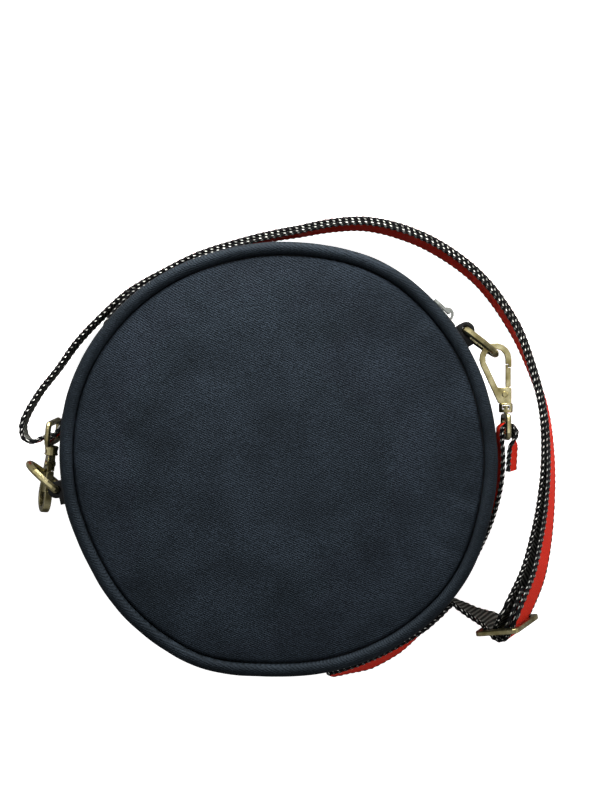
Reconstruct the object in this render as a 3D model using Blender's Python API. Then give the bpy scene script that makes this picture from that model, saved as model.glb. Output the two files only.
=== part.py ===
"""Canvas sling bag: a round zipped bag on its back, with a webbing strap on two snap hooks.

Frame: origin at the centre of the back panel's outer face, +Z out of the front panel,
+Y to the bag's own top. A clock angle is measured from +Y, clockwise seen from the front.
"""
import math

import bpy
import bmesh
from mathutils import Matrix, Vector

# Shell
BAG_RADIUS = 0.095
BAG_DEPTH = 0.056
CANVAS = 0.0012
LINING = 0.0006
GAP = 0.0003
PIPING_RADIUS = 0.0030
BELLY_RISE = 0.0040
FRONT_CROWN = 0.0040
SEAM_DIP = 0.0020
BACK_LIFT = 0.0015
BACK_FLAT_SHARE = 0.9
CROWN_POWER_SHARE = 0.6
SHELL_SEGMENTS = 54
PIPING_SIDES = 6

# Zip
ZIP_OPENING = 0.012
TAPE = 0.0007
TAPE_SPLIT = 0.0008
TAPE_UNDERLAP = 0.005
CHAIN_WIDTH = 0.0050
CHAIN_DEPTH = 0.0014
TOOTH_PITCH = 0.0040
TOOTH_SPINE = 0.0010
CHAIN_END_CLOCK = 73.2
SLIDER_CLOCK = 69.4
SLIDER_LENGTH = 0.0125
SLIDER_TAIL_WIDTH = 0.0066
SLIDER_FLANGE = 0.0015
SLIDER_PLATE = 0.0015
SLIDER_FLANGE_DEPTH = 0.0016
LOWER_PLATE = 0.0010
LOWER_PLATE_WIDTH = 0.0080
CROWN_LENGTH = 0.0068
CROWN_HEIGHT = 0.0035
CROWN_WIRE = 0.0011
CROWN_WIDTH = 0.0024
PULL_WIRE = 0.0007
PULL_LENGTH = 0.0085
PULL_WIDTH = 0.0062
PULL_ARM = 0.0012
PULL_THICKNESS = 0.0012
PULL_WINDOW = 0.0042
PULL_TILT = 6.5

# Tabs and D rings
WEBBING_WIDTH = 0.020
TAB_THICKNESS = 0.0030
TAB_LENGTH = 0.0102
TAB_ROLL_RADIUS = 0.0037
TAB_CLOCKS = {1: 75.6, -1: -77.6}
D_WIRE = 0.0016
D_REACH = 0.0172
D_STRAIGHT = 0.0050
D_CORNER = 0.0020
D_SIDE_GAP = 0.00075
D_TURNS = {1: 57.0, -1: 39.9}

# Snap hook, measured along its axis from the centre of the eye's end bar
HOOK_THICKNESS = 0.0032
EYE_TO_COLLAR = 0.0108
COLLAR_RADIUS = 0.0031
COLLAR_LENGTH = 0.0041
COLLAR_FLOOR = 0.0015
WINDOW_HEIGHT = 0.0018
WINDOW_WIDTH = 0.0036
POST_RADIUS = 0.0008
POST_HEAD_RADIUS = 0.0015
EYE_WIRE = 0.0013
EYE_CORNER = 0.0020
EYE_SIDE_GAP = 0.0005
PLATE_LEFT = 0.0033
PLATE_RIGHT = 0.0024
PLATE_LENGTH = 0.0070
NOSE_BEND_RADIUS = 0.00705
NOSE_BAR = 0.0025
ARM_BAR = 0.0026
BEND_ABOVE_PLATE = 0.0126
NOSE_END_ABOVE_PLATE = 0.0104
STEP_HEIGHT = 0.0014
RIVET_OFFSET = 0.0005
RIVET_BELOW_TOP = 0.0030
RIVET_RADIUS = 0.0006
RIVET_HEAD_RADIUS = 0.0014
RIVET_HEAD = 0.0005
GATE_BAR = 0.0022
GATE_TONGUE = 0.0010
TONGUE_RADIUS = 0.0020
SPRING_THICKNESS = 0.0004
HOOK_BEVEL = 0.00035
OVERRUN = 0.0010

# Where the two eyes lie, measured from their tabs: along the gusset, outside it and below its middle.
# The hooks and D rings turn from the line through tab and eye.
EYE_RIGHT_ALONG = 0.0486
EYE_RIGHT_OUT = 0.0051
EYE_LEFT_ALONG = 0.02797
EYE_LEFT_OUT = 0.0074
EYE_LEFT_DROP = 0.00756
HOOK_RIGHT_TURN = -69.95
HOOK_LEFT_TURN = -84.8
HOOK_LEFT_PITCH = 5.2
HOOK_LEFT_ROLL = 109.4
EYE_LEFT_ROLL = -4.3

# Webbing and its three bar slider
WEBBING = 0.0018
SLIDER_FRAME_LENGTH = 0.027
SLIDER_FRAME_WIDTH = 0.0207
SLIDER_FRAME = 0.0022
SLIDER_OUTER_BAR = 0.0020
SLIDER_CENTRE_BAR = 0.0011
SLIDER_EDGE_GAP = 0.0005
THREAD_HEADING = 55.0
TAIL_HEADING = 51.0
STRAP_SLIDER_CLOCK = 146.8
STRAP_SLIDER_DISTANCE = 0.1261
STRAP_SLIDER_HEIGHT = 0.0167
STRAP_SLIDER_LEAN = 30.0
STRAP_SLIDER_LEAN_AZIMUTH = 180.0
STRAP_SLIDER_YAW = -12.5
SLIDER_NEAR = 0.0041
SLIDER_CLEAR = 0.0085
SLIDER_TAIL_CLEAR = 0.0066
TAIL_RISE = 0.0030
TAIL_RISE_SHARES = (0.2, 0.55)
EXIT_RISE = 0.0076
EXIT_RISE_SHARES = (1.0, 0.61, 0.28, 0.08)
LAYER_PITCH = 0.0022
LAYERS_MEET = 0.100
LAYERS_MEET_POWER_SHARE = 1.5
HAIRPIN_RADIUS = 0.0016
RIBBON_STEP = 0.006
STEP_SLACK_SHARE = 0.3
FLAP_LENGTH = 0.0240
TAIL_AZIMUTH = -76.0
HAIRPIN_CLOCK = 186.8
HAIRPIN_SHARE = 1.0400

# Webbing round an eye's end bar, outward and along the hook, as shares of the eye's length
EYE_RIGHT_SHARES = ((0.355, 0.060), (0.335, 0.280), (0.205, 0.455), (0.0, 0.505), (-0.180, 0.420),
                    (-0.240, 0.260), (-0.240, 0.0))
EYE_LEFT_SHARES = ((0.278, 0.639), (0.037, 0.611), (-0.170, 0.500), (-0.330, 0.270), (-0.440, 0.020))

SMOOTH_ANGLE = math.radians(40)
MID_Z = BAG_DEPTH / 2
RIM_CENTRE = BAG_RADIUS - PIPING_RADIUS
PANEL_RADIUS = RIM_CENTRE - PIPING_RADIUS - GAP
GUSSET_BOTTOM = 2 * PIPING_RADIUS + GAP
GUSSET_TOP = BAG_DEPTH - GUSSET_BOTTOM
GUSSET_EDGE_RADIUS = BAG_RADIUS - BELLY_RISE
BAR_Z = WEBBING_WIDTH / 2 + EYE_SIDE_GAP + EYE_WIRE

COLOURS = {
    "navy canvas": ((0.020, 0.028, 0.038), 0.90, 0.0),
    "black lining": ((0.012, 0.012, 0.014), 0.85, 0.0),
    "black tape": ((0.010, 0.010, 0.012), 0.90, 0.0),
    "black leather": ((0.014, 0.013, 0.012), 0.55, 0.0),
    "red webbing": ((0.420, 0.030, 0.022), 0.85, 0.0),
    "antique brass": ((0.400, 0.330, 0.170), 0.35, 1.0),
    "nickel": ((0.480, 0.480, 0.450), 0.35, 1.0),
    "spring steel": ((0.350, 0.350, 0.350), 0.30, 1.0),
}


def material(name):
    """The named material, made once from the colour table."""
    if name in bpy.data.materials:
        return bpy.data.materials[name]
    colour, roughness, metallic = COLOURS[name]
    mat = bpy.data.materials.new(name)
    mat.use_nodes = True
    shader = mat.node_tree.nodes["Principled BSDF"]
    shader.inputs["Base Color"].default_value = (*colour, 1.0)
    shader.inputs["Roughness"].default_value = roughness
    shader.inputs["Metallic"].default_value = metallic
    return mat


def add_object(name, bm, finish, parent=None, origin=None):
    """Turn a bmesh into a named, shaded object whose own origin is at the given point."""
    if origin is not None:
        bmesh.ops.translate(bm, verts=bm.verts, vec=-origin)
    bmesh.ops.recalc_face_normals(bm, faces=bm.faces)
    mesh = bpy.data.meshes.new(name)
    bm.to_mesh(mesh)
    bm.free()
    mesh.shade_smooth()
    mesh.set_sharp_from_angle(angle=SMOOTH_ANGLE)
    obj = bpy.data.objects.new(name, mesh)
    bpy.context.scene.collection.objects.link(obj)
    mesh.materials.append(material(finish))
    if origin is not None:
        obj.location = origin
    obj.parent = parent
    return obj


def loft(rings, closed=False):
    """Skin equal rings of points into one closed body, capped at both ends unless it closes."""
    bm = bmesh.new()
    loops = [[bm.verts.new(point) for point in ring] for ring in rings]
    count = len(loops[0])
    spans = len(loops) if closed else len(loops) - 1
    for i in range(spans):
        lower, upper = loops[i], loops[(i + 1) % len(loops)]
        for j in range(count):
            k = (j + 1) % count
            bm.faces.new((lower[j], lower[k], upper[k], upper[j]))
    if not closed:
        bm.faces.new(loops[0])
        bm.faces.new(loops[-1])
    return bm


def polar(clock, radius, z=0.0):
    """A point at a clock angle and radius from the bag's axis."""
    angle = math.radians(clock)
    return Vector((radius * math.sin(angle), radius * math.cos(angle), z))


def revolve(profile, start=0.0, end=360.0):
    """Turn a closed (radius, z) profile about the bag's axis between two clock angles."""
    full = end - start >= 360.0
    steps = max(2, round(SHELL_SEGMENTS * (end - start) / 360.0))
    stops = steps if full else steps + 1
    clocks = [start + (end - start) * i / steps for i in range(stops)]
    return loft([[polar(c, r, z) for r, z in profile] for c in clocks], closed=full)


def lathe_disc(top, bottom):
    """A round panel from two (radius, z) lines that run outwards from the bag's axis."""
    bm = bmesh.new()
    ring_of = {}
    for side, line in (("top", top), ("bottom", bottom)):
        for i, (radius, z) in enumerate(line):
            if radius == 0.0:
                ring_of[side, i] = [bm.verts.new((0.0, 0.0, z))]
            else:
                clocks = [360.0 * k / SHELL_SEGMENTS for k in range(SHELL_SEGMENTS)]
                ring_of[side, i] = [bm.verts.new(polar(c, radius, z)) for c in clocks]
    pairs = [(("top", i), ("top", i + 1)) for i in range(len(top) - 1)]
    pairs += [(("bottom", i), ("bottom", i + 1)) for i in range(len(bottom) - 1)]
    pairs.append((("top", len(top) - 1), ("bottom", len(bottom) - 1)))
    for first, second in pairs:
        inner, outer = ring_of[first], ring_of[second]
        for k in range(SHELL_SEGMENTS):
            n = (k + 1) % SHELL_SEGMENTS
            if len(inner) == 1:
                bm.faces.new((inner[0], outer[k], outer[n]))
            else:
                bm.faces.new((inner[k], outer[k], outer[n], inner[n]))
    return bm


def prism(outline, start, end, to_point):
    """Extrude a closed outline between two heights; to_point places (a, b, height)."""
    return loft([[to_point(a, b, h) for a, b in outline] for h in (start, end)])


def arc(centre, radius, start, end, steps):
    """Points on a circle in a plane, from one angle to another in degrees."""
    points = []
    for i in range(steps + 1):
        angle = math.radians(start + (end - start) * i / steps)
        points.append((centre[0] + radius * math.cos(angle), centre[1] + radius * math.sin(angle)))
    return points


def wire(path, normal, radius, sides=8, closed=True):
    """Sweep a round section along a flat path."""
    rings = []
    count = len(path)
    for i, point in enumerate(path):
        before = path[(i - 1) % count] if closed or i > 0 else point
        after = path[(i + 1) % count] if closed or i < count - 1 else point
        side = normal.cross(after - before).normalized()
        ring = []
        for k in range(sides):
            angle = 2 * math.pi * (k + 0.5) / sides
            ring.append(point + radius * (math.cos(angle) * side + math.sin(angle) * normal))
        rings.append(ring)
    return loft(rings, closed)


def cylinder(start, end, radius, sides=12):
    """A round bar between two points."""
    axis = (end - start).normalized()
    side = axis.orthogonal().normalized()
    other = axis.cross(side)
    rings = []
    for point in (start, end):
        ring = []
        for k in range(sides):
            angle = 2 * math.pi * k / sides
            ring.append(point + radius * (math.cos(angle) * side + math.sin(angle) * other))
        rings.append(ring)
    return loft(rings)


def combine(obj, name, bm, operation, parent=None):
    """Join a tool body to an object, or cut it, with an exact Boolean."""
    tool = add_object(obj.name + "_" + name, bm, obj.data.materials[0].name, parent, obj.location.copy())
    tool.hide_render = True
    tool.hide_set(True)
    tool.display_type = "WIRE"
    modifier = obj.modifiers.new(name, "BOOLEAN")
    modifier.operation = operation
    modifier.solver = "EXACT"
    modifier.object = tool
    return tool


def bevel_edges(obj, width):
    """Ease the sharp edges of a stamped or cast piece."""
    modifier = obj.modifiers.new("eased edges", "BEVEL")
    modifier.width = width
    modifier.segments = 1
    modifier.limit_method = "ANGLE"
    modifier.angle_limit = math.radians(50)


def barrel_radius(z, inset=0.0):
    """Outer radius of the bulging gusset at a height, less an inset."""
    share = (z - MID_Z) / (GUSSET_TOP - MID_Z)
    return GUSSET_EDGE_RADIUS + BELLY_RISE * (1 - share * share) - inset


def barrel_band(low, high, inset, thickness, steps):
    """Closed (radius, z) profile of a band that follows the barrel of the gusset."""
    heights = [low + (high - low) * i / steps for i in range(steps + 1)]
    outer = [(barrel_radius(z, inset), z) for z in heights]
    inner = [(barrel_radius(z, inset + thickness), z) for z in reversed(heights)]
    return outer + inner


def build_panels():
    """Front and back canvas discs, their linings and the two piped rims."""
    rim_z = BAG_DEPTH - PIPING_RADIUS
    edge_z = BAG_DEPTH - SEAM_DIP
    crown_shares = (0.0, 0.45, 0.72, 0.88, 0.96, 1.0)

    def crown(share, drop):
        rise = FRONT_CROWN * (1 - share * share) ** CROWN_POWER_SHARE
        return PANEL_RADIUS * share, edge_z + rise - drop

    front_top = [crown(s, 0.0) for s in crown_shares]
    front_under = [crown(s, CANVAS) for s in crown_shares]
    add_object("front_panel", lathe_disc(front_top, front_under), "navy canvas")
    lining_shares = crown_shares[::2] + crown_shares[-1:]
    lining_top = [crown(s, CANVAS + 2 * GAP) for s in lining_shares]
    lining_under = [crown(s, CANVAS + 2 * GAP + LINING) for s in lining_shares]
    add_object("lining_front", lathe_disc(lining_top, lining_under), "black lining")

    flat, edge = PANEL_RADIUS * BACK_FLAT_SHARE, PANEL_RADIUS

    def back(height):
        return [(0.0, height), (flat, height), (edge, height + BACK_LIFT)]

    add_object("back_panel", lathe_disc(back(CANVAS), back(0.0)), "navy canvas")
    lining_low = CANVAS + GAP
    lining = lathe_disc(back(lining_low + LINING), back(lining_low))
    add_object("lining_back", lining, "black lining")

    for name, z in (("piping_back", PIPING_RADIUS), ("piping_front", rim_z)):
        last = 90 + 360 * (1 - 1 / PIPING_SIDES)
        section = arc((RIM_CENTRE, z), PIPING_RADIUS, 90, last, PIPING_SIDES - 1)
        add_object(name, revolve(section), "navy canvas")


def build_gusset():
    """Side band: one canvas run round the bottom, two strips beside the zip, and the lining."""
    start, end = TAB_CLOCKS[-1], TAB_CLOCKS[1]
    seam = math.degrees(GAP / BAG_RADIUS)
    lower = barrel_band(GUSSET_BOTTOM, GUSSET_TOP, 0.0, CANVAS, 4)
    add_object("gusset_lower", revolve(lower, end + seam, 360 + start - seam), "navy canvas")
    zip_low, zip_high = MID_Z - ZIP_OPENING / 2, MID_Z + ZIP_OPENING / 2
    under = CANVAS + TAPE + 2 * GAP
    spans = (("back", GUSSET_BOTTOM, zip_low), ("front", zip_high, GUSSET_TOP))
    for side, low, high in spans:
        strip = barrel_band(low, high, 0.0, CANVAS, 2)
        add_object("gusset_strip_" + side, revolve(strip, start, end), "navy canvas")
        lining = barrel_band(low, high, under + GAP, LINING, 2)
        add_object("lining_strip_" + side, revolve(lining, start, end), "black lining")
    band = barrel_band(GUSSET_BOTTOM, GUSSET_TOP, CANVAS + GAP, LINING, 4)
    add_object("lining_band_lower", revolve(band, end + seam, 360 + start - seam), "black lining")
    tapes = (("back", zip_low - TAPE_UNDERLAP, MID_Z - TAPE_SPLIT / 2),
             ("front", MID_Z + TAPE_SPLIT / 2, zip_high + TAPE_UNDERLAP))
    for side, low, high in tapes:
        tape = barrel_band(low, high, CANVAS + GAP, TAPE, 2)
        add_object("zip_tape_" + side, revolve(tape, start, end), "black tape")


def build_zip_teeth():
    """Two combs of teeth that mesh along the middle of the gusset."""
    low = BAG_RADIUS - CANVAS
    high = low + CHAIN_DEPTH
    tooth = TOOTH_PITCH / 2 - GAP
    pitch = math.degrees(TOOTH_PITCH / high)
    tooth_clock = math.degrees(tooth / high)
    count = int(2 * CHAIN_END_CLOCK / pitch) - 1
    half = CHAIN_WIDTH / 2
    first = -pitch * count / 2
    for side, sign, shift in (("front", 1, 0.0), ("back", -1, 0.5)):
        root = MID_Z + sign * (half - TOOTH_SPINE)
        tip = MID_Z - sign * (half - TOOTH_SPINE - GAP)
        rings = []
        for i in range(count):
            start = first + (i + shift) * pitch
            for clock, reach in ((start, root), (start, tip), (start + tooth_clock, tip),
                                 (start + tooth_clock, root)):
                rings.append((clock, reach))
        outline = rings + [(rings[-1][0], MID_Z + sign * half), (rings[0][0], MID_Z + sign * half)]
        chain = outline_walls(outline, low, high)
        add_object("zip_teeth_" + side, chain, "black tape")


def outline_walls(outline, low, high):
    """A closed (clock, z) outline given depth between two radii, with a spine that stays round."""
    teeth, back = outline[:-2], outline[-2:]
    clocks = [clock for clock, z in teeth[::4]] + [back[0][0]]
    spine = [(clock, back[0][1]) for clock in reversed(clocks)]
    points = teeth + spine
    return loft([[polar(c, r, z) for c, z in points] for r in (low, high)])


def slider_outline():
    """Plan of the zip slider, wide at the shoulders and narrow at the tail, as (along, z)."""
    half = SLIDER_LENGTH / 2
    shoulder = CHAIN_WIDTH / 2 + GAP + SLIDER_FLANGE
    tail = SLIDER_TAIL_WIDTH / 2
    notch = half * 0.6
    side = [(-half, -tail), (-half * 0.2, -shoulder), (notch, -shoulder), (half, -shoulder + GAP),
            (half, -GAP - TAPE), (notch, 0.0), (half, GAP + TAPE), (half, shoulder - GAP),
            (notch, shoulder), (-half * 0.2, shoulder), (-half, tail)]
    return side


def build_zip_slider():
    """Slider body over the chain, its lower plate behind the tape, and the pull in its crown."""
    half_clock = math.degrees(SLIDER_LENGTH / 2 / BAG_RADIUS) + 1.0
    low, high = SLIDER_CLOCK - half_clock, SLIDER_CLOCK + half_clock
    roof = BAG_RADIUS - CANVAS + CHAIN_DEPTH + GAP
    top = roof + SLIDER_PLATE
    inner = CHAIN_WIDTH / 2 + GAP
    outer = inner + SLIDER_FLANGE
    foot = roof - SLIDER_FLANGE_DEPTH
    channel = [(foot, -outer), (top - GAP, -outer), (top, -outer + 2 * GAP), (top, outer - 2 * GAP),
               (top - GAP, outer), (foot, outer), (foot, inner), (roof, inner), (roof, -inner),
               (foot, -inner)]
    outward = polar(SLIDER_CLOCK, 1.0)
    along = polar(SLIDER_CLOCK + 90.0, 1.0)

    def at(a, z, r):
        return along * a + outward * r + Vector((0.0, 0.0, MID_Z + z))

    body = revolve([(r, MID_Z + z) for r, z in channel], low, high)
    slider = add_object("zip_slider", body, "nickel")
    plan = slider_outline()
    combine(slider, "plan", prism(plan, foot - OVERRUN * 2, top + OVERRUN, at), "INTERSECT")
    reach, rise = CROWN_LENGTH / 2, CROWN_HEIGHT + SLIDER_PLATE / 2
    base = top - SLIDER_PLATE / 2
    arch = [(reach * x, base + rise * y) for x, y in arc((0, 0), 1.0, 0, 180, 8)]
    inside = [((reach - CROWN_WIRE) * x, base + (rise - CROWN_WIRE) * y) for x, y in arc((0, 0), 1.0, 180, 0, 8)]
    width = CROWN_WIDTH / 2
    crown = prism(arch + inside, -width, width, lambda a, r, z: at(a, z, r))
    combine(slider, "crown", crown, "UNION")

    under = barrel_radius(MID_Z + LOWER_PLATE_WIDTH / 2, CANVAS + TAPE + 2 * GAP)
    edge = LOWER_PLATE_WIDTH / 2
    plate = [(under - LOWER_PLATE, MID_Z - edge), (under, MID_Z - edge), (under, MID_Z + edge),
             (under - LOWER_PLATE, MID_Z + edge)]
    lower = add_object("zip_slider_lower", revolve(plate, low, high), "nickel")
    combine(lower, "plan", prism(plan, under - LOWER_PLATE - OVERRUN, under + OVERRUN, at), "INTERSECT")

    pivot_r = top + CROWN_HEIGHT - CROWN_WIRE - PULL_WIRE - GAP
    pivot = at(0.0, 0.0, pivot_r)
    holder = bpy.data.objects.new("zip_pull_pivot", None)
    bpy.context.scene.collection.objects.link(holder)
    holder.location = pivot
    half_width, arm = PULL_WIDTH / 2, PULL_ARM
    tip = PULL_LENGTH - half_width * 0.8
    plan = [(0.0, -half_width), (tip, -half_width * 0.85)]
    plan += [(tip + half_width * 0.8 * x, half_width * 0.85 * y) for x, y in arc((0, 0), 1.0, -60, 60, 4)]
    plan += [(tip, half_width * 0.85), (0.0, half_width)]
    tilt = math.radians(PULL_TILT)
    forward = -along * math.cos(tilt) - outward * math.sin(tilt)
    upward = outward * math.cos(tilt) - along * math.sin(tilt)
    depth = PULL_THICKNESS / 2

    def on_pull(a, z, h):
        return pivot + forward * a + upward * h + Vector((0.0, 0.0, z))

    pull = add_object("zip_pull", prism(plan, -depth, depth, on_pull), "nickel", None, pivot)
    window = half_width - arm
    hole = [(-OVERRUN, -window), (PULL_WINDOW, -window), (PULL_WINDOW, window), (-OVERRUN, window)]
    combine(pull, "window", prism(hole, -depth - OVERRUN, depth + OVERRUN, on_pull), "DIFFERENCE")
    bar_half = Vector((0.0, 0.0, half_width))
    combine(pull, "bar", cylinder(pivot - bar_half, pivot + bar_half, PULL_WIRE, 8), "UNION")
    for piece in (pull, *[m.object for m in pull.modifiers]):
        piece.location -= pivot
        piece.parent = holder


def tab_bar(sign):
    """Centre of the D ring's straight bar, inside the tab's roll."""
    return polar(TAB_CLOCKS[sign], BAG_RADIUS + GAP + TAB_ROLL_RADIUS, MID_Z)


def chord_clock(sign):
    """Clock square to the line from a tab to the eye of its hook, and the eye's own clock."""
    along = EYE_RIGHT_ALONG if sign > 0 else EYE_LEFT_ALONG
    eye = TAB_CLOCKS[sign] + math.degrees(along / BAG_RADIUS)
    return (TAB_CLOCKS[sign] + eye) / 2, eye


def build_tab(name, sign):
    """Folded strip: a stitched block on the gusset with a roll that carries the D ring."""
    centre = tab_bar(sign)
    radius = centre.xy.length
    outward = polar(TAB_CLOCKS[sign], 1.0)
    along = polar(TAB_CLOCKS[sign] + sign * 90.0, 1.0)
    base, top = BAG_RADIUS + GAP, BAG_RADIUS + GAP + TAB_THICKNESS
    meet = math.degrees(math.asin((radius - top) / TAB_ROLL_RADIUS))
    roll = arc((0.0, radius), TAB_ROLL_RADIUS, -meet, 180 + meet, 14)
    near = roll[-1][0]

    def curved(a, r):
        angle = a / BAG_RADIUS
        return r * math.sin(angle), r * math.cos(angle)

    block_end = near + TAB_LENGTH
    stops = [near + (block_end - near) * i / 3 for i in range(4)]
    outline = [curved(a, base) for a in stops]
    outline += [curved(a, top) for a in reversed(stops[2:])] + roll
    half = WEBBING_WIDTH / 2

    def at(a, r, z):
        return along * a + outward * r + Vector((0.0, 0.0, MID_Z + z))

    tab = add_object(name, prism(outline, -half, half, at), "black leather")
    reach = Vector((0.0, 0.0, half + OVERRUN))
    combine(tab, "bore", cylinder(centre - reach, centre + reach, D_WIRE + GAP, 12), "DIFFERENCE")


def build_d_ring(name, sign):
    """D ring: straight bar in the tab, easing out to a rounded tip."""
    bar = tab_bar(sign)
    forward = polar(chord_clock(sign)[0] + D_TURNS[sign], 1.0)
    half = WEBBING_WIDTH / 2 + D_SIDE_GAP + D_WIRE
    bow = D_REACH - D_STRAIGHT
    path = arc((D_CORNER, half - D_CORNER), D_CORNER, 180, 90, 3)
    path += [(D_STRAIGHT + bow * y, half * x) for x, y in arc((0, 0), 1.0, 0, 180, 10)]
    path += arc((D_CORNER, D_CORNER - half), D_CORNER, 270, 180, 3)
    points = [bar + forward * a + Vector((0.0, 0.0, z)) for a, z in path]
    normal = forward.cross(Vector((0.0, 0.0, 1.0)))
    add_object(name, wire(points, normal, D_WIRE), "antique brass", None, bar)


def hook_frame(clock, distance, height, aim, pitch, roll):
    """Frame of a swivel piece: +Y along the hook, roll 0 with its flat side up."""
    up = Vector((0.0, 0.0, 1.0))
    tip = math.radians(pitch)
    y = polar(aim, math.cos(tip), -math.sin(tip))
    h = Vector((y.y, -y.x, 0.0)).normalized()
    v = h.cross(y)
    turn = math.radians(roll)
    x = h * math.cos(turn) + v * math.sin(turn)
    z = x.cross(y)
    frame = Matrix((x, y, z)).transposed().to_4x4()
    frame.translation = polar(clock, distance, height)
    return frame


def hook_outline():
    """Outline of the hook body: plate, tapering arm, round bend and stepped nose."""
    plate_low = EYE_TO_COLLAR + COLLAR_FLOOR + WINDOW_HEIGHT + GAP
    plate_top = EYE_TO_COLLAR + COLLAR_LENGTH + PLATE_LENGTH
    centre = (PLATE_RIGHT - NOSE_BEND_RADIUS, plate_top + BEND_ABOVE_PLATE)
    foot = (-PLATE_LEFT, EYE_TO_COLLAR + COLLAR_LENGTH)
    reach = math.dist(foot, centre)
    bearing = math.atan2(centre[1] - foot[1], centre[0] - foot[0])
    lean = bearing + math.asin(NOSE_BEND_RADIUS / reach)
    start = math.degrees(lean) + 90.0
    outer = arc(centre, NOSE_BEND_RADIUS, start, 0, 10)
    inner_radius = NOSE_BEND_RADIUS - NOSE_BAR
    inner = arc(centre, inner_radius, 0, start - 8, 7)
    inner_x = centre[0] + inner_radius
    nose = plate_top + NOSE_END_ABOVE_PLATE
    lip = PLATE_RIGHT - NOSE_BAR / 2
    slope = math.cos(lean) / math.sin(lean)
    arm_x = foot[0] + (plate_top - foot[1]) * slope + ARM_BAR / math.sin(lean)
    outline = [(-COLLAR_RADIUS + OVERRUN, plate_low), (-COLLAR_RADIUS + OVERRUN, foot[1]), foot]
    outline += outer + [(PLATE_RIGHT, nose - STEP_HEIGHT), (lip, nose - STEP_HEIGHT), (lip, nose)]
    outline += [(inner_x, nose)] + inner + [(arm_x, plate_top), (PLATE_RIGHT, plate_top)]
    outline += [(PLATE_RIGHT, foot[1]), (COLLAR_RADIUS - OVERRUN, foot[1]), (COLLAR_RADIUS - OVERRUN, plate_low)]
    return outline


def rivet_place():
    """Where the gate's rivet crosses the hook plate."""
    plate_top = EYE_TO_COLLAR + COLLAR_LENGTH + PLATE_LENGTH
    return Vector((-RIVET_OFFSET, plate_top - RIVET_BELOW_TOP, 0.0))


def flat(x, y, z):
    """A point in a hook's own frame."""
    return Vector((x, y, z))


def build_hook(side, eye_holder, hook_holder):
    """Hook body with collar, gate slot and bores, and the loose pieces that it carries."""
    half = HOOK_THICKNESS / 2
    body = add_object("hook_" + side, prism(hook_outline(), -half, half, flat), "antique brass", hook_holder)
    bevel_edges(body, HOOK_BEVEL)
    low, high = EYE_TO_COLLAR, EYE_TO_COLLAR + COLLAR_LENGTH
    ease = HOOK_BEVEL
    profile = [(0.0, low), (COLLAR_RADIUS - ease, low), (COLLAR_RADIUS, low + ease),
               (COLLAR_RADIUS, high - ease), (COLLAR_RADIUS - ease, high), (0.0, high)]
    combine(body, "collar", turned(profile, 16), "UNION", hook_holder)
    bore = cylinder(flat(0, low - OVERRUN, 0), flat(0, low + COLLAR_FLOOR + OVERRUN / 2, 0), POST_RADIUS + GAP)
    combine(body, "bore", bore, "DIFFERENCE", hook_holder)
    sill = low + COLLAR_FLOOR
    wide, reach = WINDOW_WIDTH / 2, COLLAR_RADIUS + OVERRUN
    window = [(-wide, sill), (wide, sill), (wide, sill + WINDOW_HEIGHT), (-wide, sill + WINDOW_HEIGHT)]
    combine(body, "window", prism(window, -reach, reach, flat), "DIFFERENCE", hook_holder)
    rivet = rivet_place()
    pocket = TONGUE_RADIUS + 2 * GAP + SPRING_THICKNESS
    above = rivet.y + RIVET_BELOW_TOP + OVERRUN
    slot = arc((rivet.x, rivet.y), pocket, 180, 360, 10)
    slot += [(PLATE_RIGHT + OVERRUN, rivet.y), (PLATE_RIGHT + OVERRUN, above), (rivet.x - pocket, above)]
    gap_half = GATE_TONGUE / 2 + GAP
    combine(body, "slot", prism(slot, -gap_half, gap_half, flat), "DIFFERENCE", hook_holder)
    through = Vector((0.0, 0.0, half + OVERRUN))
    hole = cylinder(rivet - through, rivet + through, RIVET_RADIUS + GAP)
    combine(body, "rivet_bore", hole, "DIFFERENCE", hook_holder)

    shank = half + GAP
    profile = [(0.0, -shank - RIVET_HEAD), (RIVET_HEAD_RADIUS - ease, -shank - RIVET_HEAD),
               (RIVET_HEAD_RADIUS, -shank), (RIVET_RADIUS, -shank), (RIVET_RADIUS, shank),
               (RIVET_HEAD_RADIUS, shank), (RIVET_HEAD_RADIUS - ease, shank + RIVET_HEAD),
               (0.0, shank + RIVET_HEAD)]
    bm = turned(profile, 12)
    bmesh.ops.transform(bm, matrix=Matrix.Translation(rivet) @ Matrix.Rotation(math.pi / 2, 4, "X"), verts=bm.verts)
    add_object("gate_rivet_" + side, bm, "antique brass", hook_holder)

    leaf_in = TONGUE_RADIUS + GAP
    leaf = arc((rivet.x, rivet.y), leaf_in, 200, 340, 8)
    leaf += arc((rivet.x, rivet.y), leaf_in + SPRING_THICKNESS, 340, 200, 8)
    deep = GATE_TONGUE / 2
    add_object("gate_spring_" + side, prism(leaf, -deep, deep, flat), "spring steel", hook_holder)
    build_gate(side, hook_holder)
    build_eye(side, eye_holder)


def turned(profile, sides):
    """Turn a (radius, y) profile about the Y axis; its two ends lie on the axis."""
    bm = bmesh.new()
    rings = []
    for radius, y in profile:
        if radius == 0.0:
            rings.append([bm.verts.new((0.0, y, 0.0))])
            continue
        ring = []
        for k in range(sides):
            angle = 2 * math.pi * k / sides
            ring.append(bm.verts.new((radius * math.cos(angle), y, radius * math.sin(angle))))
        rings.append(ring)
    for lower, upper in zip(rings, rings[1:]):
        for k in range(sides):
            n = (k + 1) % sides
            corners = [lower[k % len(lower)], lower[n % len(lower)], upper[n % len(upper)], upper[k % len(upper)]]
            unique = list(dict.fromkeys(corners))
            bm.faces.new(unique)
    return bm


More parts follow.
